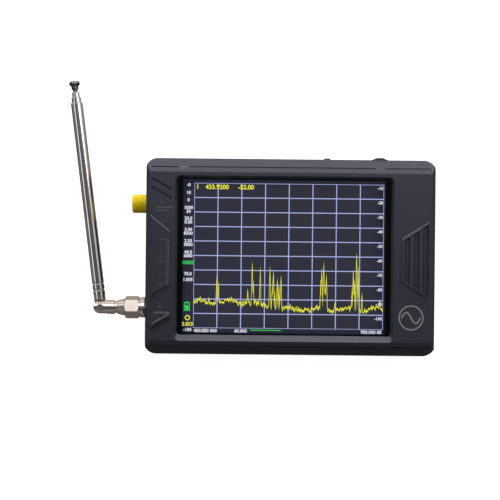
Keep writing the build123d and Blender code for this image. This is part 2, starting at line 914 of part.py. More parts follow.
with BuildPart() as usb_tongue:
    with BuildSketch(edge_out.offset(-usb_tongue_set_back)):
        with Locations((-usb_x, usb_z)):
            Rectangle(*usb_tongue_size)
    extrude(amount=-(usb_length - usb_back_wall - usb_tongue_set_back))
write(usb_tongue.part, "usb_tongue")

audio_front = half_height - 0.4
audio_body_front = upper_wall_inside - 1.3
audio_overlap = 1.0  # how far the nose runs into the body, and the wall behind its bore
with BuildPart() as headphone_jack:
    with Locations((audio_x, audio_body_front, audio_z)):
        Box(
            audio_body_width,
            audio_body_length,
            audio_body_height,
            align=(Align.CENTER, Align.MAX, Align.CENTER),
        )
    with Locations(Plane((audio_x, audio_front, audio_z), z_dir=(0, 1, 0))):
        Cylinder(
            audio_nose_radius,
            audio_front - audio_body_front + audio_overlap,
            align=(Align.CENTER, Align.CENTER, Align.MAX),
        )
        Hole(
            audio_bore_radius,
            depth=audio_front - audio_body_front + audio_body_length - audio_overlap,
        )
    with Locations((audio_x, audio_body_front, board_bottom)):
        Box(
            audio_nose_radius * 2 + 2,
            audio_body_length + 2,
            3,
            align=(Align.CENTER, Align.CENTER, Align.MIN),
            mode=Mode.SUBTRACT,
        )
write(headphone_jack.part, "headphone_jack")

card_front = upper_wall_inside - 0.2
card_back_wall = 1.2
with BuildPart() as card_socket:
    with Locations((card_x, card_front, card_z)):
        Box(
            card_socket_width,
            card_socket_length,
            card_socket_height,
            align=(Align.CENTER, Align.MAX, Align.CENTER),
        )
        Box(
            card_slot_width,
            card_socket_length - card_back_wall,
            card_slot_height,
            align=(Align.CENTER, Align.MAX, Align.CENTER),
            mode=Mode.SUBTRACT,
        )
write(card_socket.part, "memory_card_socket")

# ---------------------------------------------------------------- power switch
power_body_width = 8.4
power_body_depth = 3.6
power_body_height = 3.6
power_knob_back = upper_wall_inside - 1.8
power_cavity_height = power_knob_height + 0.5
power_knob_round = 0.35
with BuildPart() as power_switch_body:
    with Locations((power_x, upper_wall_inside - 0.2, board_bottom)):
        Box(
            power_body_width,
            power_body_depth,
            power_body_height,
            align=(Align.CENTER, Align.MAX, Align.MAX),
        )
    with Locations((power_x, upper_wall_inside, power_z)):
        Box(
            power_knob_width + power_travel + 2 * slide_fit,
            4.0,
            power_cavity_height,
            align=(Align.CENTER, Align.CENTER, Align.CENTER),
            mode=Mode.SUBTRACT,
        )
write(power_switch_body.part, "power_switch_body")

power_rest_x = power_x - power_travel / 2
with BuildPart() as power_slider:
    with Locations((power_rest_x, power_knob_back, power_z)):
        Box(
            power_knob_width,
            half_height + power_knob_proud - power_knob_back,
            power_knob_height,
            align=(Align.CENTER, Align.MIN, Align.CENTER),
        )
    fillet(power_slider.faces().sort_by(Axis.Y)[-1].edges(), radius=power_knob_round)
write(power_slider.part, "power_slider")

# ---------------------------------------------------------------- jog switch
jog_roof = 0.9  # the housing's thickness against the board
jog_floor = 0.5
jog_side = 0.9
jog_cavity_width = 7.0
jog_cavity_depth = 6.6
jog_clearance = 0.06
jog_plate_depth = 4.6
jog_pin_fit = 0.05
jog_lug_round = 0.8
jog_front = upper_wall_inside - 1.0
jog_disc_top = jog_z + jog_disc_thickness / 2
jog_disc_bottom = jog_z - jog_disc_thickness / 2
jog_floor_top = jog_disc_bottom - 2 * jog_clearance
with BuildPart() as jog_housing:
    with Locations((jog_x, jog_front, board_bottom)):
        Box(
            jog_cavity_width + 2 * jog_side,
            jog_cavity_depth + jog_side,
            board_bottom - jog_floor_top + jog_floor,
            align=(Align.CENTER, Align.MAX, Align.MAX),
        )
    with Locations((jog_x, jog_front, jog_floor_top)):
        Box(
            jog_cavity_width,
            jog_cavity_depth,
            board_bottom - jog_roof - jog_floor_top,
            align=(Align.CENTER, Align.MAX, Align.MIN),
            mode=Mode.SUBTRACT,
        )
write(jog_housing.part, "jog_housing")

jog_plate_bottom = jog_disc_top + jog_clearance
with BuildPart() as jog_carriage:
    with Locations((jog_x, upper_wall_inside - 0.2, jog_plate_bottom)):
        Box(
            jog_cavity_width - 2 * jog_clearance,
            jog_plate_depth,
            board_bottom - jog_roof - jog_clearance - jog_plate_bottom,
            align=(Align.CENTER, Align.MAX, Align.MIN),
        )
    with Locations((jog_x, jog_y, jog_plate_bottom)):
        Cylinder(
            jog_pin_radius,
            jog_plate_bottom - jog_disc_bottom,
            align=(Align.CENTER, Align.CENTER, Align.MAX),
        )
write(jog_carriage.part, "jog_carriage")

with BuildPart() as jog_wheel:
    with BuildSketch(Plane.XY.offset(jog_z - jog_disc_thickness / 2)):
        with Locations((jog_x, jog_y)):
            Circle(jog_disc_radius)
            Rectangle(
                jog_lug_width,
                jog_disc_radius + jog_lug_reach,
                align=(Align.CENTER, Align.MIN),
            )
            Circle(jog_pin_radius + jog_pin_fit, mode=Mode.SUBTRACT)
    extrude(amount=jog_disc_thickness)
    lug_edges = jog_wheel.faces().sort_by(Axis.Y)[-1].edges().filter_by(Axis.Z)
    fillet(lug_edges, radius=jog_lug_round)
write(jog_wheel.part, "jog_wheel")


# ---------------------------------------------------------------- coaxial jacks
jack_core_radius = 0.635
jack_pin_length = 3.0
jack_leg_offset = 2.6
jack_leg_size = (4.2, 1.0, 0.9)
jack_lead_in = 0.25


def jack_outline():
    """The jack's threaded sleeve: half section from the flange out to the mouth."""
    bottom = 0.0
    top = -(jack_face - jack_flange_outer)
    root = jack_thread_radius - jack_thread_depth
    points = [(jack_insulator_radius, bottom), (jack_thread_radius, bottom)]
    turns = int((jack_proud - 1.2) / jack_thread_pitch)
    start = top - 0.5 - turns * jack_thread_pitch
    for turn in range(turns):
        foot = start + turn * jack_thread_pitch
        points += [
            (jack_thread_radius, foot),
            (root, foot + 0.3 * jack_thread_pitch),
            (root, foot + 0.45 * jack_thread_pitch),
            (jack_thread_radius, foot + 0.75 * jack_thread_pitch),
        ]
    points += [
        (jack_thread_radius, top - jack_lead_in),
        (jack_thread_radius - jack_lead_in, top),
        (jack_mouth_radius, top),
        (jack_mouth_radius, top - jack_mouth_depth),
        (jack_insulator_radius, top - jack_mouth_depth),
    ]
    return points


for jack_name, axis_y in (("cal", cal_y), ("rf", rf_y)):
    # z runs out of the case along -X
    jack_frame = Plane((jack_flange_outer, axis_y, split_z), x_dir=(0, 1, 0), z_dir=(-1, 0, 0))
    jack_axis = Axis(jack_frame.origin, jack_frame.z_dir)
    jack_length = -(jack_face - jack_flange_outer)
    with BuildPart() as jack_shell:
        revolve(half_section(jack_frame, jack_outline()), axis=jack_axis)
        with Locations((jack_flange_outer, axis_y, split_z)):
            Box(
                jack_flange_thickness,
                jack_flange,
                jack_flange,
                align=(Align.MIN, Align.CENTER, Align.CENTER),
            )
        for leg_y in (-1, 1):
            for surface, hang in ((board_top, Align.MIN), (board_bottom, Align.MAX)):
                with Locations((jack_flange_inner, axis_y + leg_y * jack_leg_offset, surface)):
                    Box(*jack_leg_size, align=(Align.MIN, Align.CENTER, hang))
        with Locations(Plane((jack_flange_inner, axis_y, split_z), z_dir=(-1, 0, 0))):
            Cylinder(
                jack_insulator_radius,
                3 * jack_flange_thickness,
                mode=Mode.SUBTRACT,
            )
    write(jack_shell.part, f"{jack_name}_jack")

    insulator_length = jack_length + jack_flange_thickness - jack_mouth_depth
    with BuildPart() as jack_insulator:
        with Locations(Plane((jack_flange_inner, axis_y, split_z), z_dir=(-1, 0, 0))):
            Cylinder(
                jack_insulator_radius,
                insulator_length,
                align=(Align.CENTER, Align.CENTER, Align.MIN),
            )
            Cylinder(
                jack_core_radius,
                insulator_length,
                align=(Align.CENTER, Align.CENTER, Align.MIN),
                mode=Mode.SUBTRACT,
            )
    write(jack_insulator.part, f"{jack_name}_jack_insulator")

    with BuildPart() as jack_contact:
        with Locations(Plane((jack_flange_inner, axis_y, split_z), z_dir=(-1, 0, 0))):
            Cylinder(
                jack_core_radius,
                insulator_length,
                align=(Align.CENTER, Align.CENTER, Align.MIN),
            )
            Cylinder(
                contact_radius,
                jack_pin_length,
                align=(Align.CENTER, Align.CENTER, Align.MAX),
            )
        mouth = Plane((jack_face + jack_mouth_depth, axis_y, split_z), z_dir=(-1, 0, 0))
        with Locations(mouth):
            Cylinder(
                jack_socket_bore,
                jack_pin_length,
                align=(Align.CENTER, Align.CENTER, Align.MAX),
                mode=Mode.SUBTRACT,
            )
    write(jack_contact.part, f"{jack_name}_jack_contact")

# dust cap on the upper jack
cap_inner = jack_thread_radius + running_fit
cap_outer = cap_inner + cap_wall
cap_mouth = -(half_width - jack_relief_depth + cap_gap)
cap_face = jack_face - 0.1
cap_end_face = cap_face - cap_end
cap_frame = Plane((cap_mouth, cal_y, split_z), x_dir=(0, 1, 0), z_dir=(-1, 0, 0))
cap_length = cap_mouth - cap_end_face
cap_bead_length = 0.9
cap_rim_bevel = 0.35
with BuildPart() as dust_cap:
    cap_section = half_section(
        cap_frame,
        [
            (cap_inner, 0),
            (cap_outer + cap_bead, 0),
            (cap_outer + cap_bead, cap_bead_length),
            (cap_outer, cap_bead_length + cap_bead),
            (cap_outer, cap_length - cap_rim_bevel),
            (cap_outer - cap_rim_bevel, cap_length),
            (0, cap_length),
            (0, cap_length - cap_end),
            (cap_inner, cap_length - cap_end),
        ],
    )
    revolve(cap_section, axis=Axis(cap_frame.origin, cap_frame.z_dir))
write(dust_cap.part, "dust_cap")

# ---------------------------------------------------------------- antenna plug
rf_frame = Plane((nut_right, rf_y, split_z), x_dir=(0, 1, 0), z_dir=(-1, 0, 0))
rf_axis = Axis(rf_frame.origin, rf_frame.z_dir)
nut_bore = jack_thread_radius + running_fit
hex_radius = nut_across_flats / sqrt(3)
nut_length = nut_right - nut_left
flange_start = nut_right - jack_face + running_fit
barrel_shank_radius = 2.7
nut_web = 0.75  # the nut's inner shoulder, which draws the plug in
nut_bevel = 0.45
collar_bevel = 0.3
collar_neck = 0.35
with BuildPart() as coupling_nut:
    with BuildSketch(rf_frame.offset(nut_collar_length)):
        RegularPolygon(hex_radius, 6, rotation=nut_turn)
    extrude(amount=nut_hex_length)
    chamfer_blank = half_section(
        rf_frame,
        [
            (0, nut_collar_length - 0.5),
            (nut_across_flats / 2 + 0.05, nut_collar_length),
            (hex_radius + 0.02, nut_collar_length + nut_bevel),
            (hex_radius + 0.02, nut_length - nut_bevel),
            (nut_across_flats / 2 + 0.05, nut_length),
            (0, nut_length),
        ],
    )
    revolve(chamfer_blank, axis=rf_axis, mode=Mode.INTERSECT)
    collar = half_section(
        rf_frame,
        [
            (0, 0),
            (nut_collar_radius - collar_bevel, 0),
            (nut_collar_radius, collar_bevel),
            (nut_collar_radius, nut_collar_length - 2 * collar_bevel),
            (nut_collar_radius - collar_neck, nut_collar_length - collar_bevel),
            (nut_collar_radius - collar_neck, nut_collar_length + 0.2),
            (0, nut_collar_length + 0.2),
        ],
    )
    revolve(collar, axis=rf_axis)
    with Locations(rf_frame):
        Cylinder(
            nut_bore,
            nut_length - nut_web,
            align=(Align.CENTER, Align.CENTER, Align.MIN),
            mode=Mode.SUBTRACT,
        )
        Cylinder(
            barrel_shank_radius + running_fit,
            nut_length,
            align=(Align.CENTER, Align.CENTER, Align.MIN),
            mode=Mode.SUBTRACT,
        )
write(coupling_nut.part, "coupling_nut")

# the plug's body runs from inside the nut to the fork that carries the rod
plug_flange_end = nut_length - nut_web - running_fit
plug_bore_end = plug_flange_end + 1.0
plug_pin_radius = 0.46
plug_pin_reach = 1.2
insulator_gap = 0.05
barrel_bevel = 0.3
shank_end = nut_right - barrel_right
neck_start = nut_right - neck_right
neck_end = nut_right - neck_left
fork_end = neck_end + barrel_length
ferrule_radius = jack_mouth_radius - running_fit
ferrule_bore = 2.05
ferrule_reach = jack_mouth_depth - 0.2
pivot = Vector(pivot_x, rf_y, split_z)
with BuildPart() as plug_barrel:
    barrel_section = half_section(
        rf_frame,
        [
            (ferrule_bore, flange_start - ferrule_reach),
            (ferrule_radius, flange_start - ferrule_reach),
            (ferrule_radius, flange_start),
            (nut_bore - running_fit, flange_start),
            (nut_bore - running_fit, plug_flange_end),
            (barrel_shank_radius, plug_flange_end),
            (barrel_shank_radius, shank_end),
            (barrel_flare_radius - 0.2, shank_end),
            (barrel_flare_radius, shank_end + 0.25),
            (barrel_radius, neck_start - barrel_bevel),
            (barrel_neck_radius, neck_start),
            (barrel_neck_radius, neck_end),
            (barrel_radius, neck_end + barrel_bevel),
            (barrel_radius, fork_end),
            (0, fork_end),
            (0, plug_bore_end),
            (ferrule_bore, plug_bore_end),
        ],
    )
    revolve(barrel_section, axis=rf_axis)
    # round the fork's end about the pivot
    with BuildSketch(Plane.XY.offset(split_z - 4 * barrel_radius)):
        with Locations((pivot_x, rf_y)):
            Circle(fork_end_radius)
            Rectangle(
                2 * case_width,
                4 * barrel_radius,
                align=(Align.MIN, Align.CENTER),
            )
    extrude(amount=8 * barrel_radius, mode=Mode.INTERSECT)
    # slot between the ears, open to both sides, from the end to just past the tongue
    with BuildSketch(Plane.XY.offset(split_z - fork_slot / 2)):
        with Locations((pivot_x + tongue_radius + tongue_gap, rf_y)):
            Rectangle(
                4 * fork_end_radius,
                4 * barrel_radius,
                align=(Align.MAX, Align.CENTER),
            )
    extrude(amount=fork_slot, mode=Mode.SUBTRACT)
    with Locations(Plane(pivot)):
        Cylinder(pivot_radius + 0.01, 4 * barrel_radius, mode=Mode.SUBTRACT)
    for side in (1, -1):
        with Locations(Plane(pivot + Vector(0, 0, side * pivot_seat), z_dir=(0, 0, side))):
            Cylinder(
                pivot_head_radius + 0.06,
                barrel_radius,
                align=(Align.CENTER, Align.CENTER, Align.MIN),
                mode=Mode.SUBTRACT,
            )
write(plug_barrel.part, "plug_barrel")

with BuildPart() as plug_insulator:
    with Locations(rf_frame.offset(flange_start + insulator_gap)):
        Cylinder(
            ferrule_bore,
            plug_bore_end - flange_start - insulator_gap,
            align=(Align.CENTER, Align.CENTER, Align.MIN),
        )
        Cylinder(
            plug_pin_radius,
            3 * jack_proud,
            mode=Mode.SUBTRACT,
        )
write(plug_insulator.part, "plug_insulator")

with BuildPart() as plug_pin:
    with Locations(rf_frame.offset(flange_start - ferrule_reach - plug_pin_reach)):
        Cylinder(
            plug_pin_radius,
            plug_bore_end - flange_start + ferrule_reach + plug_pin_reach,
            align=(Align.CENTER, Align.CENTER, Align.MIN),
        )
    chamfer(plug_pin.edges().sort_by(Axis.X)[-1], length=0.2)
write(plug_pin.part, "plug_pin")

rivet_gap = 0.02
rivet_round = 0.15
rivet_slot = (1.9, 0.35, 0.3)
with BuildPart() as pivot_rivet:
    with Locations(Plane(pivot)):
        Cylinder(pivot_radius, 2 * pivot_seat + 0.2)
    for side in (1, -1):
        head = pivot + Vector(0, 0, side * (pivot_seat + rivet_gap))
        with Locations(Plane(head, z_dir=(0, 0, side))):
            Cylinder(
                pivot_head_radius,
                pivot_head_height,
                align=(Align.CENTER, Align.CENTER, Align.MIN),
            )
    rivet_ends = pivot_rivet.edges().group_by(Axis.Z)
    fillet(rivet_ends[0] + rivet_ends[-1], radius=rivet_round)
    with Locations(Plane(pivot + Vector(0, 0, pivot_seat + rivet_gap + pivot_head_height))):
        Box(*rivet_slot, mode=Mode.SUBTRACT)
write(pivot_rivet.part, "pivot_rivet")

# ---------------------------------------------------------------- antenna rod
lean = radians(rod_lean)
rod_direction = Vector(-sin(lean), cos(lean), 0)
rod_side = Vector(cos(lean), sin(lean), 0)
rod_frame = Plane(pivot, x_dir=rod_side, z_dir=rod_direction)
rod_axis = Axis(pivot, rod_direction)
tongue_thickness = fork_slot - 0.2
collar_end = rod_collar_start + rod_collar_length
spigot_radius = tube_radii[0] - tube_wall - 0.03
spigot_end = collar_end + 6.5
crimp_places = (collar_end + 2.0, collar_end + 4.6)
crimp_depth = 0.2
bush_length = 2.4
bush_bevel = 0.3
tube_lip = 0.18
tube_lip_length = 0.55
foot_shift = spigot_end - 9.0  # the feet were set for a spigot that ends 9 mm from the pivot

with BuildPart() as rod_knuckle:
    knuckle_section = half_section(
        rod_frame,
        [
            (0, rod_collar_start),
            (rod_collar_radius - 0.2, rod_collar_start),
            (rod_collar_radius, rod_collar_start + 0.2),
            (rod_collar_radius, collar_end),
            (spigot_radius - crimp_depth, collar_end),
            (spigot_radius - crimp_depth, spigot_end),
            (0, spigot_end),
        ],
    )
    revolve(knuckle_section, axis=rod_axis)
    tongue_plane = Plane(
        pivot - Vector(0, 0, tongue_thickness / 2), x_dir=rod_side, z_dir=(0, 0, 1)
    )
    with BuildSketch(tongue_plane):
        Circle(tongue_radius)
        Rectangle(
            2 * tongue_radius,
            rod_collar_start + 0.4,
            align=(Align.CENTER, Align.MIN),
        )
        Circle(pivot_radius + 0.05, mode=Mode.SUBTRACT)
    extrude(amount=tongue_thickness)
write(rod_knuckle.part, "rod_knuckle")


def tube_outline(radius, foot, top, crimps=(), bush=None):
    """Half section of one tube: rolled in at the top, a bush at its foot that rides in the next tube out."""
    inner = radius - tube_wall
    outside = []
    if bush:
        outside += [
            (bush, foot),
            (bush, foot + bush_length),
            (radius, foot + bush_length + bush_bevel),
        ]
    else:
        outside += [(radius, foot)]
    for place in crimps:
        outside += [
            (radius, place - 0.5),
            (radius - crimp_depth, place - 0.15),
            (radius - crimp_depth, place + 0.15),
            (radius, place + 0.5),
        ]
    outside += [(radius, top - tube_lip_length), (radius - tube_lip, top)]
    mouth = inner - tube_lip
    inside = [(mouth, top), (mouth, top - 0.45), (inner, top - 0.7)]
    for place in reversed(crimps):
        inside += [
            (inner, place + 0.5),
            (inner - crimp_depth, place + 0.15),
            (inner - crimp_depth, place - 0.15),
            (inner, place - 0.5),
        ]
    inside += [(inner, foot)]
    return outside + inside


tube_names = ("antenna_tube_lower", "antenna_tube_middle", "antenna_tube_upper")
for index, tube_name in enumerate(tube_names):
    radius = tube_radii[index]
    ride_in = tube_radii[index - 1] - tube_wall - tube_fit if index else None
    with BuildPart() as tube:
        tube_section = half_section(
            rod_frame,
            tube_outline(
                radius,
                collar_end + 0.02 if index == 0 else tube_feet[index] + foot_shift,
                tube_tops[index],
                crimps=crimp_places if index == 0 else (),
                bush=ride_in,
            ),
        )
        revolve(tube_section, axis=rod_axis)
    write(tube.part, tube_name)

tip_foot = tip_rod_foot + foot_shift
tip_bush = tube_radii[2] - tube_wall - tube_fit
with BuildPart() as antenna_tip:
    tip_section = half_section(
        rod_frame,
        [
            (0, tip_foot),
            (tip_bush, tip_foot),
            (tip_bush, tip_foot + bush_length),
            (tip_rod_radius, tip_foot + bush_length + bush_bevel),
            (tip_rod_radius, knob_start - 0.7),
            (knob_radius * 0.66, knob_start - 0.5),
            (knob_radius * 0.66, knob_start + 0.7),
            (knob_radius * 0.8, knob_start + 0.95),
            (knob_radius, knob_start + 1.35),
            (knob_radius, knob_start + 1.9),
            (knob_radius * 0.8, knob_top - 0.3),
            (knob_radius * 0.4, knob_top),
            (0, knob_top),
        ],
    )
    revolve(tip_section, axis=rod_axis)
write(antenna_tip.part, "antenna_tip")
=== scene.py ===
"""Looks of a handheld spectrum analyser with a touch screen and a telescopic antenna.

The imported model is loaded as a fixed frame. Its nodes are dressed, and the lit picture, the printed
marks and the knob's ribs are added round it. Sizes in the classes are in millimetres unless they
say otherwise, and Blender's are in metres.
"""

from __future__ import annotations

import logging
import math
import random
from dataclasses import dataclass, field
from enum import Enum
from typing import Callable, ClassVar, Iterable, Sequence

import bpy
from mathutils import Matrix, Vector

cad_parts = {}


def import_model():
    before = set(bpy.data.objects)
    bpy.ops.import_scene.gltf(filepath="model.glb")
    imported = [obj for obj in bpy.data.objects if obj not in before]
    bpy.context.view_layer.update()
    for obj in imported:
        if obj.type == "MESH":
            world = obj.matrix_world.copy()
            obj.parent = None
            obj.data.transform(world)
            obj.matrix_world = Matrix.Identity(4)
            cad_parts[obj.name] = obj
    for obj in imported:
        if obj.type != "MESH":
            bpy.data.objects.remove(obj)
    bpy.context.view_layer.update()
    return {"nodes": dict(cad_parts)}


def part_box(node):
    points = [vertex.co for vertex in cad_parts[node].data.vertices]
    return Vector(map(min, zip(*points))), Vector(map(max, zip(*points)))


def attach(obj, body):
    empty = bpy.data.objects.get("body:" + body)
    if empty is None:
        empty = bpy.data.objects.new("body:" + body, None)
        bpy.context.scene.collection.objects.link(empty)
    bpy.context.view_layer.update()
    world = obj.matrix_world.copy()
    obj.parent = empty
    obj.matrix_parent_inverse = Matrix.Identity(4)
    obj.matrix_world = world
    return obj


MM = 0.001
FULL_TURN = 2 * math.pi
CAPITAL_PART = 0.7  # a capital's height as a part of the type size
CURVE_STEPS = 3  # straight pieces in each curve of a figure
CIRCLE_SIDES = 96
BAR_ROUND = 0.25  # how far a bar's ends are rounded, as a part of its smaller side
BAR_EDGE = 0.4  # the most that the rounding takes of a bar's thickness
CELL = 0.17  # pitch of the display's cells in millimetres
LOG = logging.getLogger("analyser")

Piece = bpy.types.Object
Colour = tuple[float, float, float]
Triple = tuple[float, float, float]  # a place, a size, or turns about the axes
Bar = tuple[float, float, float, float]  # x and y of its middle, its length and its height
Outline = Sequence[tuple[float, float]]  # points (x, y) in metres, from left to right


# ---------------------------------------------------------------- shader graphs
class Wire:
    """One output of a shader node, which can be used in sums like a number."""

    def __init__(self, graph: Graph, socket: bpy.types.NodeSocket) -> None:
        """Keep the graph and the socket.

        Args:
            graph: The graph that the socket belongs to.
            socket: The output that other nodes read.
        """
        self.graph = graph
        self.socket = socket

    def _math(self, operation: str, first: Wire | float, second: Wire | float = 0.0) -> Wire:
        """Add one Math node.

        Args:
            operation: The Math node's operation.
            first: Its first value.
            second: Its second value.

        Returns:
            The result.
        """
        settings = {"operation": operation}
        return self.graph.wire("ShaderNodeMath", settings, {0: first, 1: second})

    def __add__(self, other: Wire | float) -> Wire:
        """Sum with another value."""
        return self._math("ADD", self, other)

    __radd__ = __add__

    def __sub__(self, other: Wire | float) -> Wire:
        """Difference from another value."""
        return self._math("SUBTRACT", self, other)

    def __rsub__(self, other: float) -> Wire:
        """Another value less this one."""
        return self._math("SUBTRACT", other, self)

    def __mul__(self, other: Wire | float) -> Wire:
        """Product with another value."""
        return self._math("MULTIPLY", self, other)

    __rmul__ = __mul__

    def __pow__(self, other: float) -> Wire:
        """Power of this value."""
        return self._math("POWER", self, other)

    def __abs__(self) -> Wire:
        """Size of this value without its sign."""
        return self._math("ABSOLUTE", self)

    def at_least(self, limit: float) -> Wire:
        """This value, or the limit where it is less."""
        return self._math("MAXIMUM", self, limit)

    def below(self, limit: Wire | float) -> Wire:
        """One where this value is under a limit, otherwise nought."""
        return self._math("LESS_THAN", self, limit)

    def above(self, limit: Wire | float) -> Wire:
        """One where this value is over a limit, otherwise nought."""
        return self._math("GREATER_THAN", self, limit)

    def wave(self, pitch: float) -> Wire:
        """Sine of this place, with its tops a pitch in millimetres apart."""
        return self._math("SINE", self * (FULL_TURN / (pitch * MM)))

    def swell(self, pitch: float) -> Wire:
        """The same wave, but between nought and one."""
        return self.wave(pitch) * 0.5 + 0.5


class Graph:
    """The nodes of one material or of the world."""

    def __init__(self, tree: bpy.types.NodeTree) -> None:
        """Start from an empty tree.

        Args:
            tree: The node tree to fill.
        """
        self.tree = tree
        tree.nodes.clear()

    def node(
        self,
        kind: str,
        settings: dict[str, object] | None = None,
        inputs: dict[str | int, object] | None = None,
    ) -> bpy.types.Node:
        """Add a node, set it, and fill its inputs.

        Args:
            kind: The node's type.
            settings: Properties, and "stops" as (place, colour) pairs for a colour ramp.
            inputs: Values or wires by the input's name or number.

        Returns:
            The new node.
        """
        made = self.tree.nodes.new(kind)
        for name, value in (settings or {}).items():
            if name == "stops":
                elements = made.color_ramp.elements
                while len(elements) > 1:
                    elements.remove(elements[-1])
                for index, (place, colour) in enumerate(value):
                    stop = elements[0] if index == 0 else elements.new(place)
                    stop.position = place
                    stop.color = (*colour, 1.0)
            else:
                setattr(made, name, value)
        for name, value in (inputs or {}).items():
            if isinstance(value, Wire):
                self.tree.links.new(value.socket, made.inputs[name])
            elif isinstance(value, tuple) and len(value) == 3 and made.inputs[name].type == "RGBA":
                made.inputs[name].default_value = (*value, 1.0)
            else:
                made.inputs[name].default_value = value
        return made

    def wire(
        self,
        kind: str,
        settings: dict[str, object] | None = None,
        inputs: dict[str | int, object] | None = None,
        output: str | int = 0,
    ) -> Wire:
        """Add a node and take one of its outputs.

        Args:
            kind: The node's type.
            settings: As for node.
            inputs: As for node.
            output: The output's name or number.

        Returns:
            The output as a wire.
        """
        return Wire(self, self.node(kind, settings, inputs).outputs[output])

    def place(self, stretch: Triple = (1.0, 1.0, 1.0), turn: Triple = (0.0, 0.0, 0.0)) -> Wire:
        """Where a point lies on its piece, turned and then stretched.

        Args:
            stretch: Factors along the turned axes.
            turn: Turns about the axes in radians.

        Returns:
            The coordinates.
        """
        here = self.wire("ShaderNodeTexCoord", output="Object")
        if turn != (0.0, 0.0, 0.0):
            here = self.wire("ShaderNodeMapping", {}, {"Vector": here, "Rotation": turn})
        if stretch != (1.0, 1.0, 1.0):
            here = self.wire("ShaderNodeMapping", {}, {"Vector": here, "Scale": stretch})
        return here

    def noise(self, grain: float, detail: float = 2.0, place: Wire | None = None) -> Wire:
        """Cloudy noise from 0 to 1.

        Args:
            grain: Size of its patches in millimetres.
            detail: How many finer layers it has.
            place: Coordinates, or None for the piece's own.

        Returns:
            The noise.
        """
        inputs = {"Vector": place or self.place(), "Scale": 1 / (grain * MM), "Detail": detail}
        return self.wire("ShaderNodeTexNoise", {}, inputs)

    def cells(self, grain: float, place: Wire | None = None) -> Wire:
        """Distance to the middle of the nearest of many scattered cells.

        Args:
            grain: Size of a cell in millimetres.
            place: Coordinates, or None for the piece's own.

        Returns:
            The distance, from 0 to about 1.
        """
        inputs = {"Vector": place or self.place(), "Scale": 1 / (grain * MM)}
        return self.wire("ShaderNodeTexVoronoi", {}, inputs)

    def blend(self, part: Wire, first: Colour | Wire, second: Colour | Wire) -> Wire:
        """Mix two colours.

        Args:
            part: How much of the second colour shows.
            first: The first colour.
            second: The second colour.

        Returns:
            The mixed colour.
        """
        settings = {"data_type": "RGBA"}
        return self.wire("ShaderNodeMix", settings, {0: part, 6: first, 7: second}, output=2)

    def bump(self, height: Wire, depth: float, strength: float = 1.0) -> Wire:
        """Turn a height into a surface normal.

        Args:
            height: The height from 0 to 1.
            depth: What a height of 1 stands for in millimetres.
            strength: How much of it shows.

        Returns:
            The normal.
        """
        inputs = {"Height": height, "Distance": depth * MM, "Strength": strength}
        return self.wire("ShaderNodeBump", {}, inputs)

    def axes(self) -> tuple[Wire, Wire, Wire]:
        """A point's own X, Y and Z on its piece, in metres."""
        split = self.node("ShaderNodeSeparateXYZ", {}, {0: self.place()})
        return tuple(Wire(self, output) for output in split.outputs)


def tone(colour: Colour, factor: float) -> Colour:
    """A colour made lighter or darker.

    Args:
        colour: The colour.
        factor: What each of its parts is multiplied by.

    Returns:
        The new colour.
    """
    return tuple(min(1.0, part * factor) for part in colour)


# ---------------------------------------------------------------- finishes
@dataclass(frozen=True)
class Finish:
    """A surface finish that makes one material."""

    name: str

    def sockets(self, graph: Graph) -> dict[str, object]:
        """What the shader's sockets get.

        Args:
            graph: Where the finish adds its nodes.

        Returns:
            Values and wires by socket name.
        """
        raise NotImplementedError

    def material(self) -> bpy.types.Material:
        """Make the finish's material, once, under a name that no plain one has.

        Returns:
            The material.
        """
        title = f"{self.name}_finish"
        made = bpy.data.materials.get(title)
        if made is None:
            made = bpy.data.materials.new(title)
            made.use_nodes = True
            graph = Graph(made.node_tree)
            shader = graph.wire("ShaderNodeBsdfPrincipled", {}, self.sockets(graph))
            graph.node("ShaderNodeOutputMaterial", {}, {"Surface": shader})
        return made


@dataclass(frozen=True)
class Moulding(Finish):
    """Moulded plastic with an etched grain, uneven gloss and faint handling marks."""

    colour: Colour
    roughness: float = 0.5
    grain: float = 0.22
    depth: float = 0.02
    mottle: float = 0.12
    level: float = 0.5
    sheen: Colour = (1.0, 1.0, 1.0)
    patch: float = 14.0
    rub: float = 1.6
    rub_turn: float = 0.5

    def sockets(self, graph: Graph) -> dict[str, object]:
        """Grain, patches of gloss and a slight change of colour.

        Args:
            graph: Where the nodes go.

        Returns:
            Values and wires by socket name.
        """
        fine = graph.noise(self.grain, 3.0)
        patches = graph.noise(self.patch, 4.0)
        along_rubs = graph.place((1.0, 0.22, 1.0), (0.0, 0.0, self.rub_turn))
        rubs = graph.noise(self.rub, 3.0, along_rubs)
        shade = patches * 0.55 + fine * 0.3 + rubs * 0.15
        colour = graph.blend(
            shade, tone(self.colour, 1 - self.mottle), tone(self.colour, 1 + self.mottle)
        )
        gloss = self.roughness - 0.12 + patches * 0.12 + rubs * 0.06 + fine * 0.06
        return {
            "Base Color": colour,
            "Roughness": gloss,
            "Specular IOR Level": self.level,
            "Specular Tint": self.sheen,
            "Normal": graph.bump(fine, self.depth, 0.6),
        }


@dataclass(frozen=True)
class Vinyl(Finish):
    """Dipped soft vinyl: waxy, a little see-through, with flow marks."""

    colour: Colour
    shade: Colour

    def sockets(self, graph: Graph) -> dict[str, object]:
        """Flow marks and a waxy gloss.

        Args:
            graph: Where the nodes go.

        Returns:
            Values and wires by socket name.
        """
        flow = graph.noise(2.4, 3.0, graph.place((0.35, 1.0, 1.0)))
        dust = graph.noise(0.3, 2.0)
        return {
            "Base Color": graph.blend(flow * 0.7 + dust * 0.2, self.colour, self.shade),
            "Roughness": 0.34 + flow * 0.12 + dust * 0.08,
            "Specular IOR Level": 0.1,
            "Subsurface Weight": 0.5,
            "Subsurface Radius": (1.0, 0.7, 0.15),
            "Subsurface Scale": 0.003,
            "Normal": graph.bump(flow + dust * 0.3, 0.08, 0.5),
        }


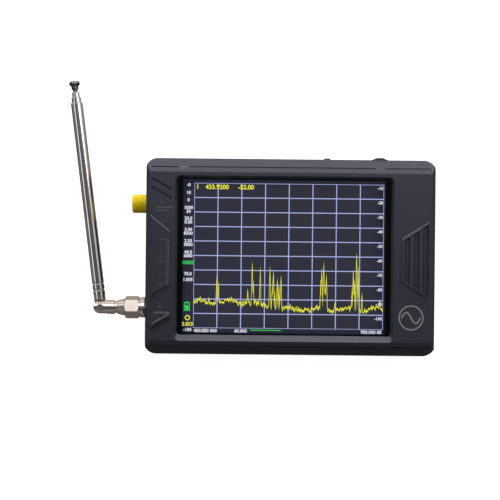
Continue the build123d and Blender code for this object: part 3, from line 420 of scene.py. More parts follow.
@dataclass(frozen=True)
class TurnedMetal(Finish):
    """Bare or plated metal with tool marks round its axis and a film of handling."""

    colour: Colour
    roughness: float = 0.2
    turn: Triple = (0.0, 0.0, 0.0)
    lines: float = 0.05
    smear: float = 0.08
    pitch: float = 0.12
    tarnish: Colour | None = None

    def sockets(self, graph: Graph) -> dict[str, object]:
        """Fine rings along the axis, smears and a trace of tarnish.

        Args:
            graph: Where the nodes go.

        Returns:
            Values and wires by socket name.
        """
        rings = graph.noise(self.pitch, 2.0, graph.place((1.0, 0.02, 0.02), self.turn))
        film = graph.noise(3.5, 4.0)
        specks = graph.cells(0.9).below(0.12) * graph.noise(2.0).above(0.56)
        worn = self.tarnish or tone(self.colour, 0.72)
        colour = graph.blend(film * 0.45 + rings * 0.2 + specks * 0.25, self.colour, worn)
        gloss = self.roughness - 0.5 * (self.lines + self.smear)
        return {
            "Base Color": colour,
            "Metallic": 1.0,
            "Roughness": gloss + rings * self.lines + film * self.smear + specks * 0.12,
            "Normal": graph.bump(rings, 0.006, 0.5),
        }


@dataclass(frozen=True)
class CoverGlass(Finish):
    """Clear cover glass with a trace of finger film."""

    def sockets(self, graph: Graph) -> dict[str, object]:
        """Clear, with a gloss that finger marks dull a little.

        Args:
            graph: Where the nodes go.

        Returns:
            Values and wires by socket name.
        """
        film = graph.noise(9.0, 3.0) * graph.noise(1.1, 2.0)
        return {
            "Base Color": (0.97, 0.98, 1.0),
            "Roughness": film * 0.02,
            "IOR": 1.46,
            "Transmission Weight": 1.0,
        }


@dataclass(frozen=True)
class ScreenGround(Finish):
    """The display behind its picture: a faintly glowing field with a black edge round it."""

    centre: Triple
    half_width: float
    half_height: float
    cool_glow: Colour = (0.022, 0.030, 0.050)
    warm_glow: Colour = (0.040, 0.034, 0.044)
    rim_glow: Colour = (0.012, 0.014, 0.032)
    rim_power: int = 14

    def sockets(self, graph: Graph) -> dict[str, object]:
        """Glow inside the field only, with warm and cool patches that are a painted reflection, and
        rows of cells.

        Args:
            graph: Where the nodes go.

        Returns:
            Values and wires by socket name.
        """
        across, along, _ = graph.axes()
        from_x = abs(across - self.centre[0])
        from_y = abs(along - self.centre[1])
        inside = from_x.below(self.half_width * MM) * from_y.below(self.half_height * MM)
        cloud = graph.noise(26.0, 3.0)
        cell = across.swell(CELL)
        out_x = from_x * (1 / (self.half_width * MM))
        out_y = from_y * (1 / (self.half_height * MM))
        rim = out_x**self.rim_power + out_y**self.rim_power
        # painted reflection: the cloud lays warm and cool patches into the display's own faint glow
        glow_with_painted_reflection = graph.blend(cloud, self.cool_glow, self.warm_glow)
        glow = graph.blend(rim * 0.9, glow_with_painted_reflection, self.rim_glow)
        lit = graph.blend(cell * 0.12, glow, (0.0, 0.0, 0.0))
        return {
            "Base Color": graph.blend(inside, (0.004, 0.004, 0.005), (0.012, 0.012, 0.018)),
            "Roughness": 0.32 + cloud * 0.1,
            "Emission Color": graph.blend(inside, (0.0, 0.0, 0.0), lit),
            "Emission Strength": 1.0,
        }


@dataclass(frozen=True)
class LitMark(Finish):
    """A lit line or figure of the picture, with the display's rows of cells in it."""

    colour: Colour
    strength: float = 1.0

    def sockets(self, graph: Graph) -> dict[str, object]:
        """Light broken up by the cells, with a slight unevenness.

        Args:
            graph: Where the nodes go.

        Returns:
            Values and wires by socket name.
        """
        across, along, _ = graph.axes()
        uneven = graph.noise(5.0, 2.0)
        dark = across.swell(CELL) * 0.12 + along.swell(CELL) * 0.1 + uneven * 0.2
        return {
            "Base Color": (0.01, 0.01, 0.01),
            "Roughness": 0.4,
            "Emission Color": graph.blend(dark, self.colour, tone(self.colour, 0.45)),
            "Emission Strength": self.strength,
        }


@dataclass(frozen=True)
class Ink(Finish):
    """Screen-printed ink: matt, thinner in places, following the grain beneath."""

    colour: Colour

    def sockets(self, graph: Graph) -> dict[str, object]:
        """Uneven cover over the plastic's grain.

        Args:
            graph: Where the nodes go.

        Returns:
            Values and wires by socket name.
        """
        grain = graph.noise(0.22, 3.0)
        cover = graph.noise(1.2, 3.0)
        return {
            "Base Color": graph.blend(
                cover * 0.5 + grain * 0.3, self.colour, tone(self.colour, 0.7)
            ),
            "Roughness": 0.55 + grain * 0.2,
            "Normal": graph.bump(grain, 0.02, 0.5),
        }


@dataclass(frozen=True)
class PaleSheet(Finish):
    """A pale sheet lit from behind, on which shadows stay faint."""

    def sockets(self, graph: Graph) -> dict[str, object]:
        """A near-white glow with a trace of unevenness.

        Args:
            graph: Where the nodes go.

        Returns:
            Values and wires by socket name.
        """
        cloud = graph.noise(300.0, 2.0)
        return {
            "Base Color": graph.blend(cloud, (0.5, 0.5, 0.5), (0.55, 0.55, 0.55)),
            "Roughness": 0.9,
            "Specular IOR Level": 0.1,
            "Emission Color": graph.blend(cloud * 0.2, (1.0, 1.0, 1.0), (0.97, 0.97, 0.97)),
            "Emission Strength": 0.9,
        }


@dataclass(frozen=True)
class BoardMask(Finish):
    """Solder mask with copper runs showing through it and tinned dots."""

    mask: Colour
    copper: Colour
    run_pitch: float = 0.9
    hole_pitch: float = 2.6

    def sockets(self, graph: Graph) -> dict[str, object]:
        """Runs in two directions, each in its own patches, and plated holes.

        Args:
            graph: Where the nodes go.

        Returns:
            Values and wires by socket name.
        """
        across, along, _ = graph.axes()
        patch = graph.noise(7.0, 1.0).above(0.5)
        runs_x = across.wave(self.run_pitch).above(0.45) * patch
        runs_y = along.wave(self.run_pitch).above(0.45) * (1 - patch)
        runs = (runs_x + runs_y) * graph.noise(2.5, 1.0).above(0.46)
        holes = graph.cells(self.hole_pitch).below(0.13)
        ground = graph.blend(runs * 0.6, self.mask, tone(self.mask, 2.2))
        return {
            "Base Color": graph.blend(holes, ground, self.copper),
            "Metallic": holes * 0.9,
            "Roughness": 0.3 + graph.noise(0.4) * 0.15,
            "Normal": graph.bump(runs + holes, 0.04, 0.6),
        }


@dataclass(frozen=True)
class ChipPackage(Finish):
    """Moulded chip epoxy with fine filler."""

    colour: Colour = (0.018, 0.018, 0.02)
    filler_colour: Colour = (0.05, 0.05, 0.052)

    def sockets(self, graph: Graph) -> dict[str, object]:
        """Filler grain and a faint swirl from moulding.

        Args:
            graph: Where the nodes go.

        Returns:
            Values and wires by socket name.
        """
        filler = graph.cells(0.12)
        swirl = graph.noise(3.0, 3.0)
        return {
            "Base Color": graph.blend(
                filler * 0.5 + swirl * 0.3, self.colour, self.filler_colour
            ),
            "Roughness": 0.45 + swirl * 0.2,
            "Normal": graph.bump(filler, 0.01, 0.5),
        }


@dataclass(frozen=True)
class Wrinkled(Finish):
    """A thin film, tape or foil that has creased, with printed or etched lines if asked."""

    colour: Colour
    metal: float = 0.0
    roughness: float = 0.35
    crease: float = 4.0
    line_pitch: float = 0.0
    line_colour: Colour = (0.5, 0.25, 0.05)

    def sockets(self, graph: Graph) -> dict[str, object]:
        """Creases, with painted shade in their hollows and a painted highlight on their crests, and
        lines across Y.

        Args:
            graph: Where the nodes go.

        Returns:
            Values and wires by socket name.
        """
        fold_height_and_shade = graph.noise(self.crease, 5.0)
        dents = graph.cells(self.crease * 0.6)
        # painted shade and highlight: darker colour in the crease hollows, lighter on the crests
        base = graph.blend(fold_height_and_shade, tone(self.colour, 0.8), tone(self.colour, 1.15))
        if self.line_pitch:
            _, along, _ = graph.axes()
            lines = along.wave(self.line_pitch).above(0.1)
            base = graph.blend(lines * 0.8, base, self.line_colour)
        return {
            "Base Color": base,
            "Metallic": self.metal,
            "Roughness": self.roughness + fold_height_and_shade * 0.15,
            "Normal": graph.bump(fold_height_and_shade + dents * 0.3, 0.12, 0.5),
        }


@dataclass(frozen=True)
class OpenFoam(Finish):
    """Soft foam with open pores."""

    colour: Colour

    def sockets(self, graph: Graph) -> dict[str, object]:
        """Pores that dent the surface, with painted shade that darkens the colour in them.

        Args:
            graph: Where the nodes go.

        Returns:
            Values and wires by socket name.
        """
        pores = graph.cells(0.45)
        return {
            # painted shade: the colour darkens to about a third in each pore
            "Base Color": graph.blend(pores, tone(self.colour, 0.35), self.colour),
            "Roughness": 0.9,
            "Sheen Weight": 0.2,
            "Normal": graph.bump(pores, 0.15, 0.8),
        }


@dataclass(frozen=True)
class LeadPair(Finish):
    """Two insulated leads, one red and one black, parted by a plane."""

    parting: float

    def sockets(self, graph: Graph) -> dict[str, object]:
        """Red on one side of the plane, black on the other.

        Args:
            graph: Where the nodes go.

        Returns:
            Values and wires by socket name.
        """
        across, _, _ = graph.axes()
        smear = graph.noise(1.5, 3.0)
        red = graph.blend(smear, (0.42, 0.012, 0.01), (0.52, 0.03, 0.02))
        black = graph.blend(smear, (0.012, 0.012, 0.012), (0.03, 0.03, 0.03))
        return {
            "Base Color": graph.blend(across.above(self.parting * MM), red, black),
            "Roughness": 0.36 + smear * 0.14,
            "Normal": graph.bump(smear, 0.02, 0.4),
        }


ROD_TURN = (0.0, 0.0, -math.radians(97.35))  # brings the leaning rod's axis onto X

CASE = Moulding(
    "case_plastic", (0.0165, 0.0175, 0.0265), 0.48, 0.2, 0.022, 0.14, 0.5, (0.88, 0.91, 1.0)
)
KNOB_PLASTIC = Moulding("switch_plastic", (0.018, 0.018, 0.021), 0.42, 0.3, 0.012, 0.1)
BLACK_PLASTIC = Moulding("black_plastic", (0.02, 0.02, 0.022), 0.45, 0.3, 0.01, 0.12)
WHITE_PLASTIC = Moulding("white_plastic", (0.78, 0.76, 0.7), 0.4, 0.3, 0.01, 0.06)
PTFE = Moulding("ptfe", (0.86, 0.86, 0.84), 0.38, 0.4, 0.01, 0.05, 0.4)
CAP = Vinyl("cap_vinyl", (0.80, 0.55, 0.006), (0.68, 0.42, 0.002))
SCREW = TurnedMetal("screw_steel", (0.1, 0.1, 0.105), 0.36, (0.0, 1.5708, 0.0), 0.1, 0.1, 0.15)
STEEL = TurnedMetal("bright_steel", (0.62, 0.62, 0.62), 0.28)
TINPLATE = TurnedMetal("tinplate", (0.68, 0.68, 0.66), 0.34, (0.0, 0.0, 0.6), 0.1, 0.12, 0.3)
GOLD = TurnedMetal("gold_brass", (0.92, 0.66, 0.28), 0.2, tarnish=(0.62, 0.38, 0.12))
NICKEL = TurnedMetal("nickel", (0.84, 0.745, 0.68), 0.22, tarnish=(0.6, 0.5, 0.43))
CHROME = TurnedMetal(
    "chrome", (0.82, 0.79, 0.77), 0.1, ROD_TURN, 0.03, 0.04, 0.2, (0.6, 0.56, 0.54)
)
DARK_CHROME = TurnedMetal("dark_chrome", (0.1, 0.095, 0.092), 0.34, ROD_TURN, 0.05, 0.05, 0.15)
COVER = CoverGlass("cover_glass")
BOARD = BoardMask("board", (0.008, 0.014, 0.03), (0.72, 0.56, 0.3))
CHIP = ChipPackage("chip")
CELL_FILM = Wrinkled("cell_film", (0.55, 0.56, 0.58), 0.6, 0.3, 5.0)
RIBBON = Wrinkled("ribbon_film", (0.42, 0.16, 0.015), 0.1, 0.25, 9.0, 0.5)
TAPE = Wrinkled("tape", (0.62, 0.6, 0.5), 0.0, 0.55, 3.0)
FOAM = OpenFoam("foam", (0.05, 0.05, 0.055))
INK = Ink("ink", (0.085, 0.085, 0.09))
BADGE_INK = Ink("badge_ink", (0.2, 0.2, 0.21))


class Light(Enum):
    """Colours of the lit picture."""

    LINE = LitMark("lit_line", (0.50, 0.53, 0.95))
    WHITE = LitMark("lit_white", (0.85, 0.87, 0.95))
    YELLOW = LitMark("lit_yellow", (0.92, 0.90, 0.05))
    GREEN = LitMark("lit_green", (0.04, 0.75, 0.12))


class Anchor(Enum):
    """Which end of a line of figures its place is."""

    LEFT = "LEFT"
    CENTRE = "CENTER"
    RIGHT = "RIGHT"


# ---------------------------------------------------------------- modelling
class Bench:
    """Where pieces are modelled: small steps that every sub-assembly uses."""

    @staticmethod
    def clear() -> None:
        """Select nothing."""
        bpy.ops.object.select_all(action="DESELECT")

    @staticmethod
    def start(operator: Callable[..., set[str]], name: str, **sizes: object) -> Piece:
        """Add a primitive with nothing else selected.

        Args:
            operator: The operator that adds it.
            name: The piece's name.
            **sizes: The operator's settings, in metres.

        Returns:
            The new object.
        """
        Bench.clear()
        operator(**sizes)
        piece = bpy.context.object
        piece.name = name
        piece.data.name = name
        return piece

    @staticmethod
    def only(piece: Piece) -> None:
        """Select one piece and make it active.

        Args:
            piece: The piece.
        """
        Bench.clear()
        piece.select_set(True)
        bpy.context.view_layer.objects.active = piece

    @staticmethod
    def shape(piece: Piece, *steps: Callable[[], object]) -> None:
        """Run edit-mode steps on a piece with all of it selected.

        Args:
            piece: The piece.
            *steps: Calls made one after another.
        """
        Bench.only(piece)
        bpy.ops.object.mode_set(mode="EDIT")
        bpy.ops.mesh.select_mode(type="FACE")
        bpy.ops.mesh.select_all(action="SELECT")
        for step in steps:
            step()
        bpy.ops.object.mode_set(mode="OBJECT")

    @staticmethod
    def modify(piece: Piece, kind: str, **settings: object) -> None:
        """Add a modifier and apply it.

        Args:
            piece: The piece.
            kind: The modifier's type.
            **settings: Its properties.
        """
        Bench.only(piece)
        modifier = piece.modifiers.new(kind.title(), kind)
        for name, value in settings.items():
            setattr(modifier, name, value)
        bpy.ops.object.modifier_apply(modifier=modifier.name)

    @staticmethod
    def settle(piece: Piece) -> None:
        """Put the object's place, turn and size into its mesh.

        Args:
            piece: The piece.
        """
        Bench.only(piece)
        bpy.ops.object.transform_apply(location=True, rotation=True, scale=True)

    @staticmethod
    def join(pieces: Sequence[Piece], name: str) -> Piece:
        """Make several objects one.

        Args:
            pieces: The objects.
            name: The joined piece's name.

        Returns:
            The joined piece.
        """
        Bench.clear()
        for piece in pieces:
            piece.select_set(True)
        bpy.context.view_layer.objects.active = pieces[0]
        if len(pieces) > 1:
            bpy.ops.object.join()
        joined = bpy.context.object
        joined.name = name
        joined.data.name = name
        return joined

    @staticmethod
    def dress(piece: Piece, finish: Finish, body: str, slot: str) -> None:
        """Give a finished piece its material and its body.

        Args:
            piece: The piece.
            finish: The finish it gets.
            body: The body it rides on.
            slot: Not used.
        """
        piece.data.materials.clear()
        piece.data.materials.append(finish.material())
        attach(piece, body)
        LOG.info("piece %s rides on %s", piece.name, body)

    @staticmethod
    def figures(
        text: str,
        height: float,
        place: Vector,
        anchor: Anchor = Anchor.LEFT,
        turn: float = 0.0,
        thickness: float = 0.02,
        weight: float = 0.0,
    ) -> Piece:
        """A line of plain figures as a thin solid.

        Args:
            text: What it reads.
            height: Height of its figures in millimetres.
            place: Middle height of its anchored end, in metres.
            anchor: Which end the place is.
            turn: Turn about Z in degrees.
            thickness: How thick it is in millimetres.
            weight: How much fatter its strokes are on each side, in millimetres.

        Returns:
            The piece.
        """
        Bench.clear()
        bpy.ops.object.text_add(location=place, rotation=(0.0, 0.0, math.radians(turn)))
        line = bpy.context.object
        line.data.body = text
        line.data.size = height * MM / CAPITAL_PART
        line.data.align_x = anchor.value
        line.data.align_y = "CENTER"
        line.data.resolution_u = CURVE_STEPS
        line.data.extrude = thickness * MM / 2
        line.data.offset = weight * MM
        bpy.ops.object.convert(target="MESH")
        Bench.settle(line)
        return line

    @staticmethod
    def bar(centre: Vector, size: Triple) -> Piece:
        """A small bar with softened ends.

        Args:
            centre: Its middle, in metres.
            size: Its sizes in millimetres.

        Returns:
            The piece.
        """
        piece = Bench.start(bpy.ops.mesh.primitive_cube_add, "bar", size=1.0)
        piece.scale = Vector(size) * MM
        Bench.settle(piece)
        round_off = min(BAR_ROUND * min(size[0], size[1]), size[2] * BAR_EDGE)
        Bench.modify(piece, "BEVEL", width=round_off * MM, segments=1)
        piece.location = centre
        Bench.settle(piece)
        return piece

    @staticmethod
    def ribbon(
        name: str, upper: Outline, lower: Outline, height: float, thickness: float
    ) -> Piece:
        """A flat ribbon between an upper and a lower line.

        Args:
            name: The piece's name.
            upper: Its upper edge.
            lower: Its lower edge, with as many points.
            height: Its Z in metres.
            thickness: Its thickness in metres.

        Returns:
            The piece.
        """
        columns = len(upper) - 1
        piece = Bench.start(
            bpy.ops.mesh.primitive_grid_add, name,
            x_subdivisions=columns, y_subdivisions=1, size=2.0,
        )
        for vertex in piece.data.vertices:
            index = round((vertex.co.x + 1.0) / 2.0 * columns)
            x, y = upper[index] if vertex.co.y > 0 else lower[index]
            vertex.co = (x, y, height)
        Bench.modify(piece, "SOLIDIFY", thickness=thickness, offset=1.0)
        return piece

    @staticmethod
    def ring(
        name: str, centre: Vector, radius: float, width: float, thickness: float
    ) -> Piece:
        """A flat ring.

        Args:
            name: The piece's name.
            centre: Its middle, in metres.
            radius: Its outer radius in millimetres.
            width: How wide it is in millimetres.
            thickness: How thick it is in millimetres.

        Returns:
            The piece.
        """
        piece = Bench.start(
            bpy.ops.mesh.primitive_circle_add, name, vertices=CIRCLE_SIDES, radius=radius * MM,
            fill_type="NGON", location=centre,
        )
        Bench.settle(piece)
        Bench.shape(
            piece,
            lambda: bpy.ops.mesh.inset(thickness=width * MM),
            lambda: bpy.ops.mesh.delete(type="FACE"),
        )
        Bench.modify(piece, "SOLIDIFY", thickness=thickness * MM, offset=1.0)
        return piece


# ---------------------------------------------------------------- sub-assemblies
NodesOf = dict[Finish, tuple[str, ...]]  # the names of the nodes that each finish goes on


@dataclass
class Assembly:
    """A sub-assembly: nodes of the frame that are dressed, and pieces added to them."""

    nodes: dict[str, Piece]
    FINISHES: ClassVar[NodesOf] = {}

    def build(self) -> None:
        """Dress the nodes."""
        self.dress(self.FINISHES)

    def dress(self, finishes: NodesOf) -> None:
        """Give carried-over nodes their materials.

        Args:
            finishes: The names of the nodes that each finish goes on.
        """
        for finish, names in finishes.items():
            for name in names:
                mesh = self.nodes[name].data
                mesh.materials.clear()
                mesh.materials.append(finish.material())
                LOG.info("node %s in %s", name, finish.name)


# ---------------------------------------------------------------- case
@dataclass
class Case(Assembly):
    """The two shells, their screws and the marks printed on the face."""

    FINISHES: ClassVar[NodesOf] = {
        CASE: ("front_shell", "rear_shell"),
        SCREW: ("case_screws",),
    }
    face_z: float = 21.0
    relief: float = 0.45
    ink: float = 0.03
    port_height: float = 2.0
    port_figures: tuple[tuple[str, float, float], ...] = (("1", -51.3, 21.3), ("2", -51.8, -19.6))
    port_bars: tuple[Bar, ...] = (
        (-50.1, 19.3, 6.0, 0.35),
        (-50.9, 18.1, 5.0, 0.35),
        (-51.2, -22.5, 6.0, 0.7),
    )
    scale_x: float = -50.1
    scale_span: tuple[float, float] = (-11.2, 6.6)
    scale_steps: int = 16
    scale_figure_steps: int = 4
    scale_figure_height: float = 1.25
    scale_figure_shift: float = -1.4
    scale_edge: float = 1.4
    long_tick: float = 1.5
    short_tick: float = 0.8
    tick_width: float = 0.2
    spine_shift: float = 1.6
    spine_width: float = 0.25
    badge: tuple[float, float] = (48.1, -23.6)
    badge_radius: float = 5.0
    badge_line: float = 0.55
    wave_points: int = 48
    wave_height: float = 2.1
    wave_margin: float = 1.2
    wave_reach: float = 0.32

    def build(self) -> None:
        """Dress the shells and add the marks."""
        super().build()
        self.print_ports()
        self.print_scale()
        self.print_badge()

    def print_marks(self, marks: Sequence[Piece], name: str, ink: Ink) -> None:
        """Join printed marks into one piece on the case.

        Args:
            marks: The marks.
            name: The piece's name.
            ink: What it is printed in.
        """
        Bench.dress(Bench.join(marks, name), ink, "case", "case_plastic")

    def print_ports(self) -> None:
        """A figure and its underline beside each jack."""
        z = (self.face_z + self.ink / 2) * MM
        marks = [
            Bench.figures(
                text, self.port_height, Vector((x * MM, y * MM, z)), Anchor.CENTRE, 0.0, self.ink
            )
            for text, x, y in self.port_figures
        ]
        marks += [
            Bench.bar(Vector((x * MM, y * MM, z)), (length, width, self.ink))
            for x, y, length, width in self.port_bars
        ]
        self.print_marks(marks, "port_marks", INK)

    def print_scale(self) -> None:
        """A column of graduations with plain figures on the raised panel."""
        z = (self.face_z + self.relief + self.ink / 2) * MM
        low, high = self.scale_span
        marks = []
        for step in range(self.scale_steps + 1):
            y = low + (high - low) * step / self.scale_steps
            number, rest = divmod(step, self.scale_figure_steps)
            length = self.short_tick if rest else self.long_tick
            centre = Vector(((self.scale_x + self.scale_edge - length / 2) * MM, y * MM, z))
            marks.append(Bench.bar(centre, (length, self.tick_width, self.ink)))
            if not rest:
                place = Vector(((self.scale_x + self.scale_figure_shift) * MM, y * MM, z))
                marks.append(
                    Bench.figures(
                        str(number), self.scale_figure_height, place, Anchor.CENTRE, 90.0, self.ink
                    )
                )
        spine = Vector(((self.scale_x + self.spine_shift) * MM, (low + high) / 2 * MM, z))
        marks.append(Bench.bar(spine, (self.spine_width, high - low + self.tick_width, self.ink)))
        self.print_marks(marks, "panel_scale", INK)

    def print_badge(self) -> None:
        """A ring with one period of a sine wave in it."""
        x, y = self.badge
        z = self.face_z * MM
        centre = Vector((x * MM, y * MM, z))
        ring = Bench.ring("badge_ring", centre, self.badge_radius, self.badge_line, self.ink)
        half = self.badge_radius - self.wave_margin
        upper, lower = [], []
        for index in range(self.wave_points + 1):
            part = index / self.wave_points
            slope = math.cos(FULL_TURN * part) * FULL_TURN * self.wave_height / (2 * half)
            reach = self.wave_reach * math.sqrt(1 + slope * slope)
            px = x - half + 2 * half * part
            py = y + self.wave_height * math.sin(FULL_TURN * part)
            upper.append((px * MM, (py + reach) * MM))
            lower.append((px * MM, (py - reach) * MM))
        wave = Bench.ribbon("badge_wave", upper, lower, z, self.ink * MM)
        self.print_marks([ring, wave], "badge", BADGE_INK)


# ---------------------------------------------------------------- display
@dataclass(frozen=True)
class Lettering:
    """A size of figures: their height and how much fatter their strokes are, in millimetres."""

    height: float
    weight: float


@dataclass
class Display(Assembly):
    """The screen with its lit picture, which lies in the foot of the cover glass."""

    FINISHES: ClassVar[NodesOf] = {
        COVER: ("touch_panel",),
        TINPLATE: ("lcd_frame",),
        FOAM: ("screen_gasket", "screen_pads"),
        RIBBON: ("lcd_ribbon",),
        WHITE_PLASTIC: ("ribbon_socket",),
    }
    half_width: float = 40.45
    half_height: float = 30.7
    gap: float = 0.01
    grid_left: float = -36.05
    grid_right: float = 39.78
    grid_low: float = -28.66
    grid_high: float = 29.3
    columns: int = 8
    rows: int = 10
    line: float = 0.36
    depth: float = 0.03
    trace_reach: float = 0.19
    samples: int = 440
    seed: int = 11
    floor: float = 1.78
    fall_start: float = 2.4
    fall_length: float = 1.3
    fall: float = 0.4
    swing: float = 0.12
    swing_rate: float = 5.1
    unrest: float = 0.11
    burst_chance: float = 0.45
    burst_least: float = 0.4
    peak_foot: float = 0.35
    peaks: tuple[tuple[float, float], ...] = (
        (0.976, 3.63), (1.06, 3.22), (2.30, 2.74), (2.467, 4.59), (2.53, 3.29), (2.819, 4.31),
        (3.221, 4.31), (3.372, 4.11), (3.539, 3.49), (3.69, 3.66), (5.40, 4.25), (5.499, 4.66),
        (5.60, 3.84), (5.985, 1.9), (6.739, 4.11), (6.873, 5.25), (6.94, 4.31), (7.108, 2.53),
        (7.878, 2.1),
    )
    bursts: tuple[Triple, ...] = (
        (3.15, 3.75, 3.1), (5.36, 5.64, 3.4), (6.68, 7.0, 3.6), (2.42, 2.56, 3.2),
    )
    figure_lift: float = 0.08
    bar_lift: float = 0.05
    bar_depth: float = 0.05
    levels: Lettering = Lettering(1.15, 0.05)
    levels_inset: float = 0.4
    levels_drop: float = 1.5
    notes: Lettering = Lettering(1.25, 0.06)
    notes_x: float = -38.35
    note_rows: tuple[tuple[str, float], ...] = (
        ("-0", 28.5), ("10", 25.4), ("0", 22.5), ("1000", 19.4), ("30", 17.9), ("20.0", 15.1),
        ("0.00", 13.6), ("3.00", 10.6), ("8500", 9.1), ("2.50", 6.1), ("3000", 4.6),
        ("40.0", 1.6), ("6000", 0.1), ("70.0", -7.1), ("1.005", -9.4), ("-100", -29.4),
    )
    status: Lettering = Lettering(1.4, 0.06)
    count_y: float = -2.6
    sweep_bar: Bar = (-7.0, -29.35, 12.4, 0.32)
    cell_place: tuple[float, float] = (-38.6, -20.2)
    cell_bars: tuple[Bar, ...] = (
        (-1.05, 0.0, 0.3, 3.0), (1.05, 0.0, 0.3, 3.0), (0.0, 1.5, 2.4, 0.3),
        (0.0, -1.5, 2.4, 0.3), (0.0, 1.85, 1.1, 0.35), (0.0, -0.3, 1.3, 1.9),
    )
    dot_y: float = -24.6
    dot_lift: float = 0.02
    dot_radius: float = 1.05
    dot_line: float = 0.42
    charge_y: float = -27.2
    marker: Lettering = Lettering(1.75, 0.08)
    marker_y: float = 27.7
    marker_columns: tuple[tuple[str, float], ...] = (
        ("1", -35.4), ("433.9200", -31.6), ("-52.00", -18.6),
    )
    sweep: Lettering = Lettering(1.3, 0.05)
    sweep_y: float = -29.75
    sweep_columns: tuple[tuple[str, float], ...] = (("400.000 000", -35.8), ("60.000", -19.6))
    sweep_end: tuple[str, float] = ("900.000 00", 39.3)
    centre: Vector = field(init=False)
    level: float = field(init=False)

    def __post_init__(self) -> None:
        """Take the middle and the height of the picture from the display's glass."""
        low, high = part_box("lcd_glass")
        self.centre = (low + high) / 2
        self.level = high.z + self.gap * MM

    def at(self, x: float, y: float, lift: float = 0.0) -> Vector:
        """A point of the picture.

        Args:
            x: Millimetres to the right of the picture's middle.
            y: Millimetres above it.
            lift: Millimetres over the display's glass.

        Returns:
            The point, in metres.
        """
        return Vector((self.centre.x + x * MM, self.centre.y + y * MM, self.level + lift * MM))

    def build(self) -> None:
        """Dress the display and draw its picture."""
        super().build()
        ground = ScreenGround(
            "display_ground", tuple(self.centre), self.half_width, self.half_height
        )
        self.dress({ground: ("lcd_glass",)})
        self.draw_grid()
        self.draw_trace()
        self.draw_levels()
        self.draw_notes()
        self.draw_status()
        self.draw_readout()

    def show(self, marks: Sequence[Piece], name: str, light: Light) -> None:
        """Join marks into one lit piece of the picture.

        Args:
            marks: The marks.
            name: The piece's name.
            light: Its colour.
        """
        Bench.dress(Bench.join(marks, name), light.value, "case", "display")

    def write(
        self,
        lettering: Lettering,
        lines: Iterable[tuple[str, float, float]],
        anchor: Anchor = Anchor.LEFT,
    ) -> list[Piece]:
        """Write lines of figures in the picture.

        Args:
            lettering: Their size.
            lines: What each reads, and the x and y of its anchored end in millimetres.
            anchor: Which end that is.

        Returns:
            The lines.
        """
        height, weight = lettering.height, lettering.weight
        return [
            Bench.figures(text, height, self.at(x, y, self.figure_lift), anchor, weight=weight)
            for text, x, y in lines
        ]

    def bars(self, x: float, y: float, bars: Iterable[Bar]) -> list[Piece]:
        """Draw bars in the picture.

        Args:
            x: Where their places are measured from, in millimetres.
            y: The same, upwards.
            bars: The bars.

        Returns:
            The bars as pieces.
        """
        return [
            Bench.bar(self.at(x + dx, y + dy, self.bar_lift), (length, height, self.bar_depth))
            for dx, dy, length, height in bars
        ]

    def draw_grid(self) -> None:
        """The graticule: one lattice of lines."""
        grid = Bench.start(
            bpy.ops.mesh.primitive_grid_add, "picture_grid",
            x_subdivisions=self.columns, y_subdivisions=self.rows, size=1.0,
        )
        grid.scale = (
            (self.grid_right - self.grid_left) * MM, (self.grid_high - self.grid_low) * MM, 1.0
        )
        grid.location = self.at(
            (self.grid_left + self.grid_right) / 2, (self.grid_low + self.grid_high) / 2
        )
        Bench.settle(grid)
        Bench.shape(
            grid,
            lambda: bpy.ops.mesh.inset(thickness=self.line * MM / 2, use_individual=True),
            lambda: bpy.ops.mesh.delete(type="FACE"),
        )
        Bench.modify(grid, "SOLIDIFY", thickness=self.depth * MM, offset=1.0)
        self.show([grid], "picture_grid", Light.LINE)

    def heights(self) -> list[float]:
        """Draw the trace's heights at random round its floor, with its bursts and peaks.

        Returns:
            The height in rows at each of its samples.
        """
        draw = random.Random(self.seed)
        heights = []
        for index in range(self.samples + 1):
            place = index / self.samples * self.columns
            floor = self.floor
            if place >= self.fall_start:
                floor -= self.fall * min(1.0, (place - self.fall_start) / self.fall_length)
            height = floor + self.swing * math.sin(place * self.swing_rate)
            height += draw.gauss(0.0, self.unrest)
            for start, end, top in self.bursts:
                if start <= place <= end and draw.random() < self.burst_chance:
                    height = floor + draw.uniform(self.burst_least, 1.0) * (top - floor)
            heights.append(height)
        for place, top in self.peaks:
            index = round(place / self.columns * self.samples)
            heights[index] = top
            for side in (index - 1, index + 1):
                if 0 <= side <= self.samples:
                    foot = heights[side]
                    heights[side] = max(foot, foot + self.peak_foot * (top - foot))
        return heights

    def draw_trace(self) -> None:
        """The trace as one ribbon that covers each step from sample to sample."""
        heights = self.heights()
        row = (self.grid_high - self.grid_low) / self.rows
        width = self.grid_right - self.grid_left
        upper, lower = [], []
        for index, here in enumerate(heights):
            near = heights[max(0, index - 1) : index + 2]
            top = max(here, (max(near) + here) / 2)
            foot = min(here, (min(near) + here) / 2)
            x = self.grid_left + width * index / self.samples
            low = self.at(x, self.grid_low + foot * row - self.trace_reach)
            high = self.at(x, self.grid_low + top * row + self.trace_reach)
            upper.append((high.x, high.y))
            lower.append((low.x, low.y))
        z = self.at(0.0, 0.0, self.depth + self.gap).z
        trace = Bench.ribbon("picture_trace", upper, lower, z, self.depth * MM)
        self.show([trace], "picture_trace", Light.YELLOW)

    def draw_levels(self) -> None:
        """Level figures down the right side."""
        row = (self.grid_high - self.grid_low) / self.rows
        x = self.grid_right - self.levels_inset
        top = self.grid_high - self.levels_drop
        lines = [(f"-{(step + 1) * 10}", x, top - step * row) for step in range(self.rows)]
        self.show(self.write(self.levels, lines, Anchor.RIGHT), "picture_levels", Light.WHITE)

    def draw_notes(self) -> None:
        """Plain figures down the left side."""
        lines = [(text, self.notes_x, y) for text, y in self.note_rows]
        self.show(self.write(self.notes, lines, Anchor.CENTRE), "picture_settings", Light.WHITE)

